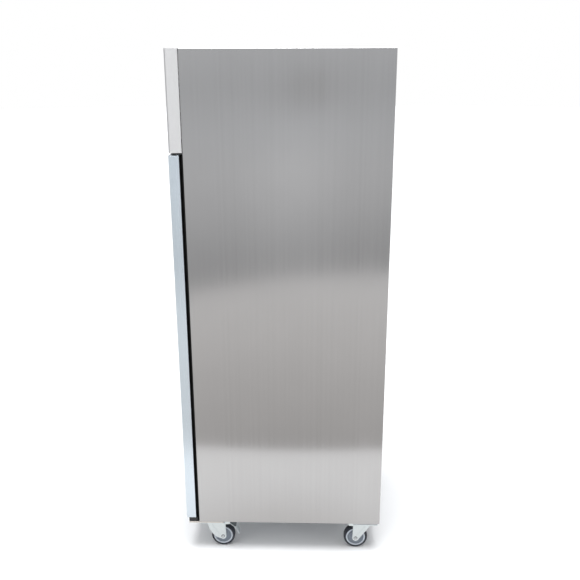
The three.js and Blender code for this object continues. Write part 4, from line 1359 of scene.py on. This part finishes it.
AXLE = (0, 40, 51)
CROWN = 124.7
LEG_TIP_R = 14
LEG_FRONT = {True: [(-27, 0), (-26, -10), (-18, -38), (-4, -62), (12, -78)], False: [(-19, 0), (-18, -16)]}
LEG_START = {True: 1.28 * math.pi, False: 1.17 * math.pi}
REAR_RIB = [(34, 66), (47, 66), (47.5, 120), (32, 120)]
FRONT_RIB = {
    True: [(-22, 112), (-22, 120), (-12, 120), (26, 60), (15, 53)],
    False: [(-15, 110), (-15, 120), (-4, 120), (33, 66), (21, 59)],
}


def leg_outline(braked):
    """A fork leg in (trail, height): square at the crown and round about the axle.

    The front edge is bowed on a braked caster and straight on a plain one."""
    points = [(trail, CROWN + drop) for trail, drop in LEG_FRONT[braked]]
    start, end, steps = LEG_START[braked], 2 * math.pi + 0.1, 16
    for i in range(steps + 1):
        angle = start + (end - start) * i / steps
        points.append((AXLE[1] + LEG_TIP_R * math.cos(angle), AXLE[2] + LEG_TIP_R * math.sin(angle)))
    return points + [(52, CROWN - 14), (71, CROWN - 12), (72, CROWN)]


def add_slab(bm, outline, x0, x1):
    """A (trail, height) outline pushed from x0 to x1."""
    add_prism(bm, [mm(x0, trail, height) for trail, height in outline], mm(x1 - x0, 0, 0))


def caster_fork(braked):
    """A crown and two legs, each with two raised ribs."""
    bm = bmesh.new()
    front = LEG_FRONT[braked][0][0] + 1
    add_prism(bm, rounded_plan(-22 * MM, 22 * MM, front * MM, 51.5 * MM, 121.2 * MM, 3 * MM), mm(0, 0, 3.5))
    add_slab(bm, leg_outline(braked), 20, 23)
    add_slab(bm, leg_outline(braked), -23, -20)
    for side in (-1, 1):
        for rib in (REAR_RIB, FRONT_RIB[braked]):
            add_slab(bm, rib, side * 21.5, side * 24.5)
    return bm


def caster_washers():
    """Washers under the axle's nut and head, drawn black: a painted shade ring round each axle bolt."""
    bm = bmesh.new()
    for side in (-1, 1):
        add_disc(bm, mm(*AXLE) + mm(side * 22.9, 0, 0), (side, 0, 0), 8.6 * MM, 0.9 * MM, 32)
    return bm


def add_pin(bm, centre, reach, radius):
    """A round pin across a caster."""
    add_tube(bm, [mm(*centre) - mm(reach, 0, 0), mm(*centre) + mm(reach, 0, 0)], radius * MM, 20)


def caster_axle():
    bm = bmesh.new()
    add_bolt(bm, mm(*AXLE) + mm(23.6, 0, 0), (1, 0, 0), 5.2, 2.2, 6.8)
    add_bolt(bm, mm(*AXLE) - mm(23.6, 0, 0), (-1, 0, 0), 5.2, 2.8, 6.8)
    add_pin(bm, AXLE, 23, 6)
    return bm


def caster_top():
    """The mounting plate with its pressed raceway."""
    bm = bmesh.new()
    add_prism(bm, rounded_plan(-50 * MM, 50 * MM, -52 * MM, 52 * MM, 133.2 * MM, 7 * MM), mm(0, 0, 3.5))
    profile = [(0, 125.2), (25, 125.2), (28.5, 126), (30.5, 128.4), (31, 131), (33, 133.4), (0, 133.4)]
    add_lathe(bm, metres(profile), (0, 0, 0), (0, 0, 1), 40)
    return bm


def caster_bolts():
    bm = bmesh.new()
    for x, y in ((-40, -41), (-40, 41), (40, -41), (40, 41)):
        add_bolt(bm, mm(x, y, 133.2), (0, 0, -1), 5, 3.4, 7)
    return bm


def wheel_part(half, crest=()):
    """A part turned about the axle, from half of its (radius, distance from the middle) profile."""
    profile = [(r, -h) for r, h in half] + list(crest) + [(r, h) for r, h in reversed(half)]
    bm = bmesh.new()
    add_lathe(bm, metres(profile), mm(*AXLE), (1, 0, 0), 96)
    return bm


def brake_lever():
    """A bent tread on a barrel between the fork's ears."""
    path = fillet([(56, 118.8), (64, 117), (75, 105), (86, 96), (99, 82), (109, 60)], 5)
    bm = bmesh.new()
    add_sheet(bm, path, -2.4, lambda p: mm(-16, p.x, p.y), mm(32, 0, 0))
    add_pin(bm, (0, 58, 116.5), 19, 4.8)
    return bm


def brake_pad():
    """The dark foot pad over the tread."""
    section = [(54, 125.5), (60, 128), (95, 128), (97.5, 125), (97.5, 98)]
    section += [(92, 96.5), (85, 103), (75, 110.5), (66, 113.5), (54, 119)]
    bm = bmesh.new()
    add_slab(bm, section, -17, 17)
    return bm


TYRE = [(41.2, 13), (43, 14.6), (46.5, 15), (48.8, 14), (50.3, 11.6), (50.9, 7.5)]
HUB = [(6.4, 17), (11, 17), (12.6, 15.6), (13.4, 9), (16, 6.6), (23, 6), (24, 8.4), (27, 8.4), (28, 6.2)]
HUB += [(31, 7.4), (33.4, 10.6), (34.4, 12.4), (35, 12.6), (35, 11)]
RIM = [(35.2, 11), (35.2, 13.6), (36.4, 14.9), (39.6, 15), (40.8, 14), (41, 12.4)]


def caster_pieces(braked):
    """Each piece of a caster: its name, shape, finish, body, CAD node and ease."""
    pieces = [
        ("top", caster_top(), zinc, "cabinet", "caster_plate", 0.6),
        ("mount_bolts", caster_bolts(), bolt_steel, "cabinet", None, 0),
        ("yoke", caster_fork(braked), zinc, "swivel", "caster_fork", 0.5),
        ("axle", caster_axle(), bolt_steel, "swivel", None, 0),
        # the black washers are a painted shade ring round each axle bolt
        ("washers", caster_washers(), black_plastic, "swivel", None, 0),
        ("hub", wheel_part(HUB), hub_plastic, "wheel", "wheel_hub", 0),
        ("rim", wheel_part(RIM), rim_plastic, "wheel", None, 0),
        ("tread", wheel_part(TYRE, [(51, 0)]), tread_rubber, "wheel", "tyre", 0),
    ]
    if braked:
        pieces.append(("lever", brake_lever(), zinc, "brake", "brake_pedal", 0.5))
        pieces.append(("pad", brake_pad(), dark_bracket, "brake", None, 1.2))
    return pieces


def caster(corner):
    """A front caster has a brake and trails backwards. A rear one is turned round."""
    low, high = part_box("caster_plate_" + corner)
    braked = corner.startswith("front")
    turn = Matrix.Rotation(0 if braked else math.pi, 4, "Z")
    place = Matrix.Translation(((low.x + high.x) / 2, (low.y + high.y) / 2, 0)) @ turn
    for name, bm, material, body, node, ease in caster_pieces(braked):
        bmesh.ops.transform(bm, matrix=place, verts=bm.verts)
        nodes = [f"{node}_{corner}"] if node else []
        rides_on = body if body == "cabinet" else f"{body}_{corner}"
        piece_of(f"caster_{name}_{corner}", bm, material, nodes, ease, rides_on)


for caster_corner in CORNERS:
    caster(caster_corner)
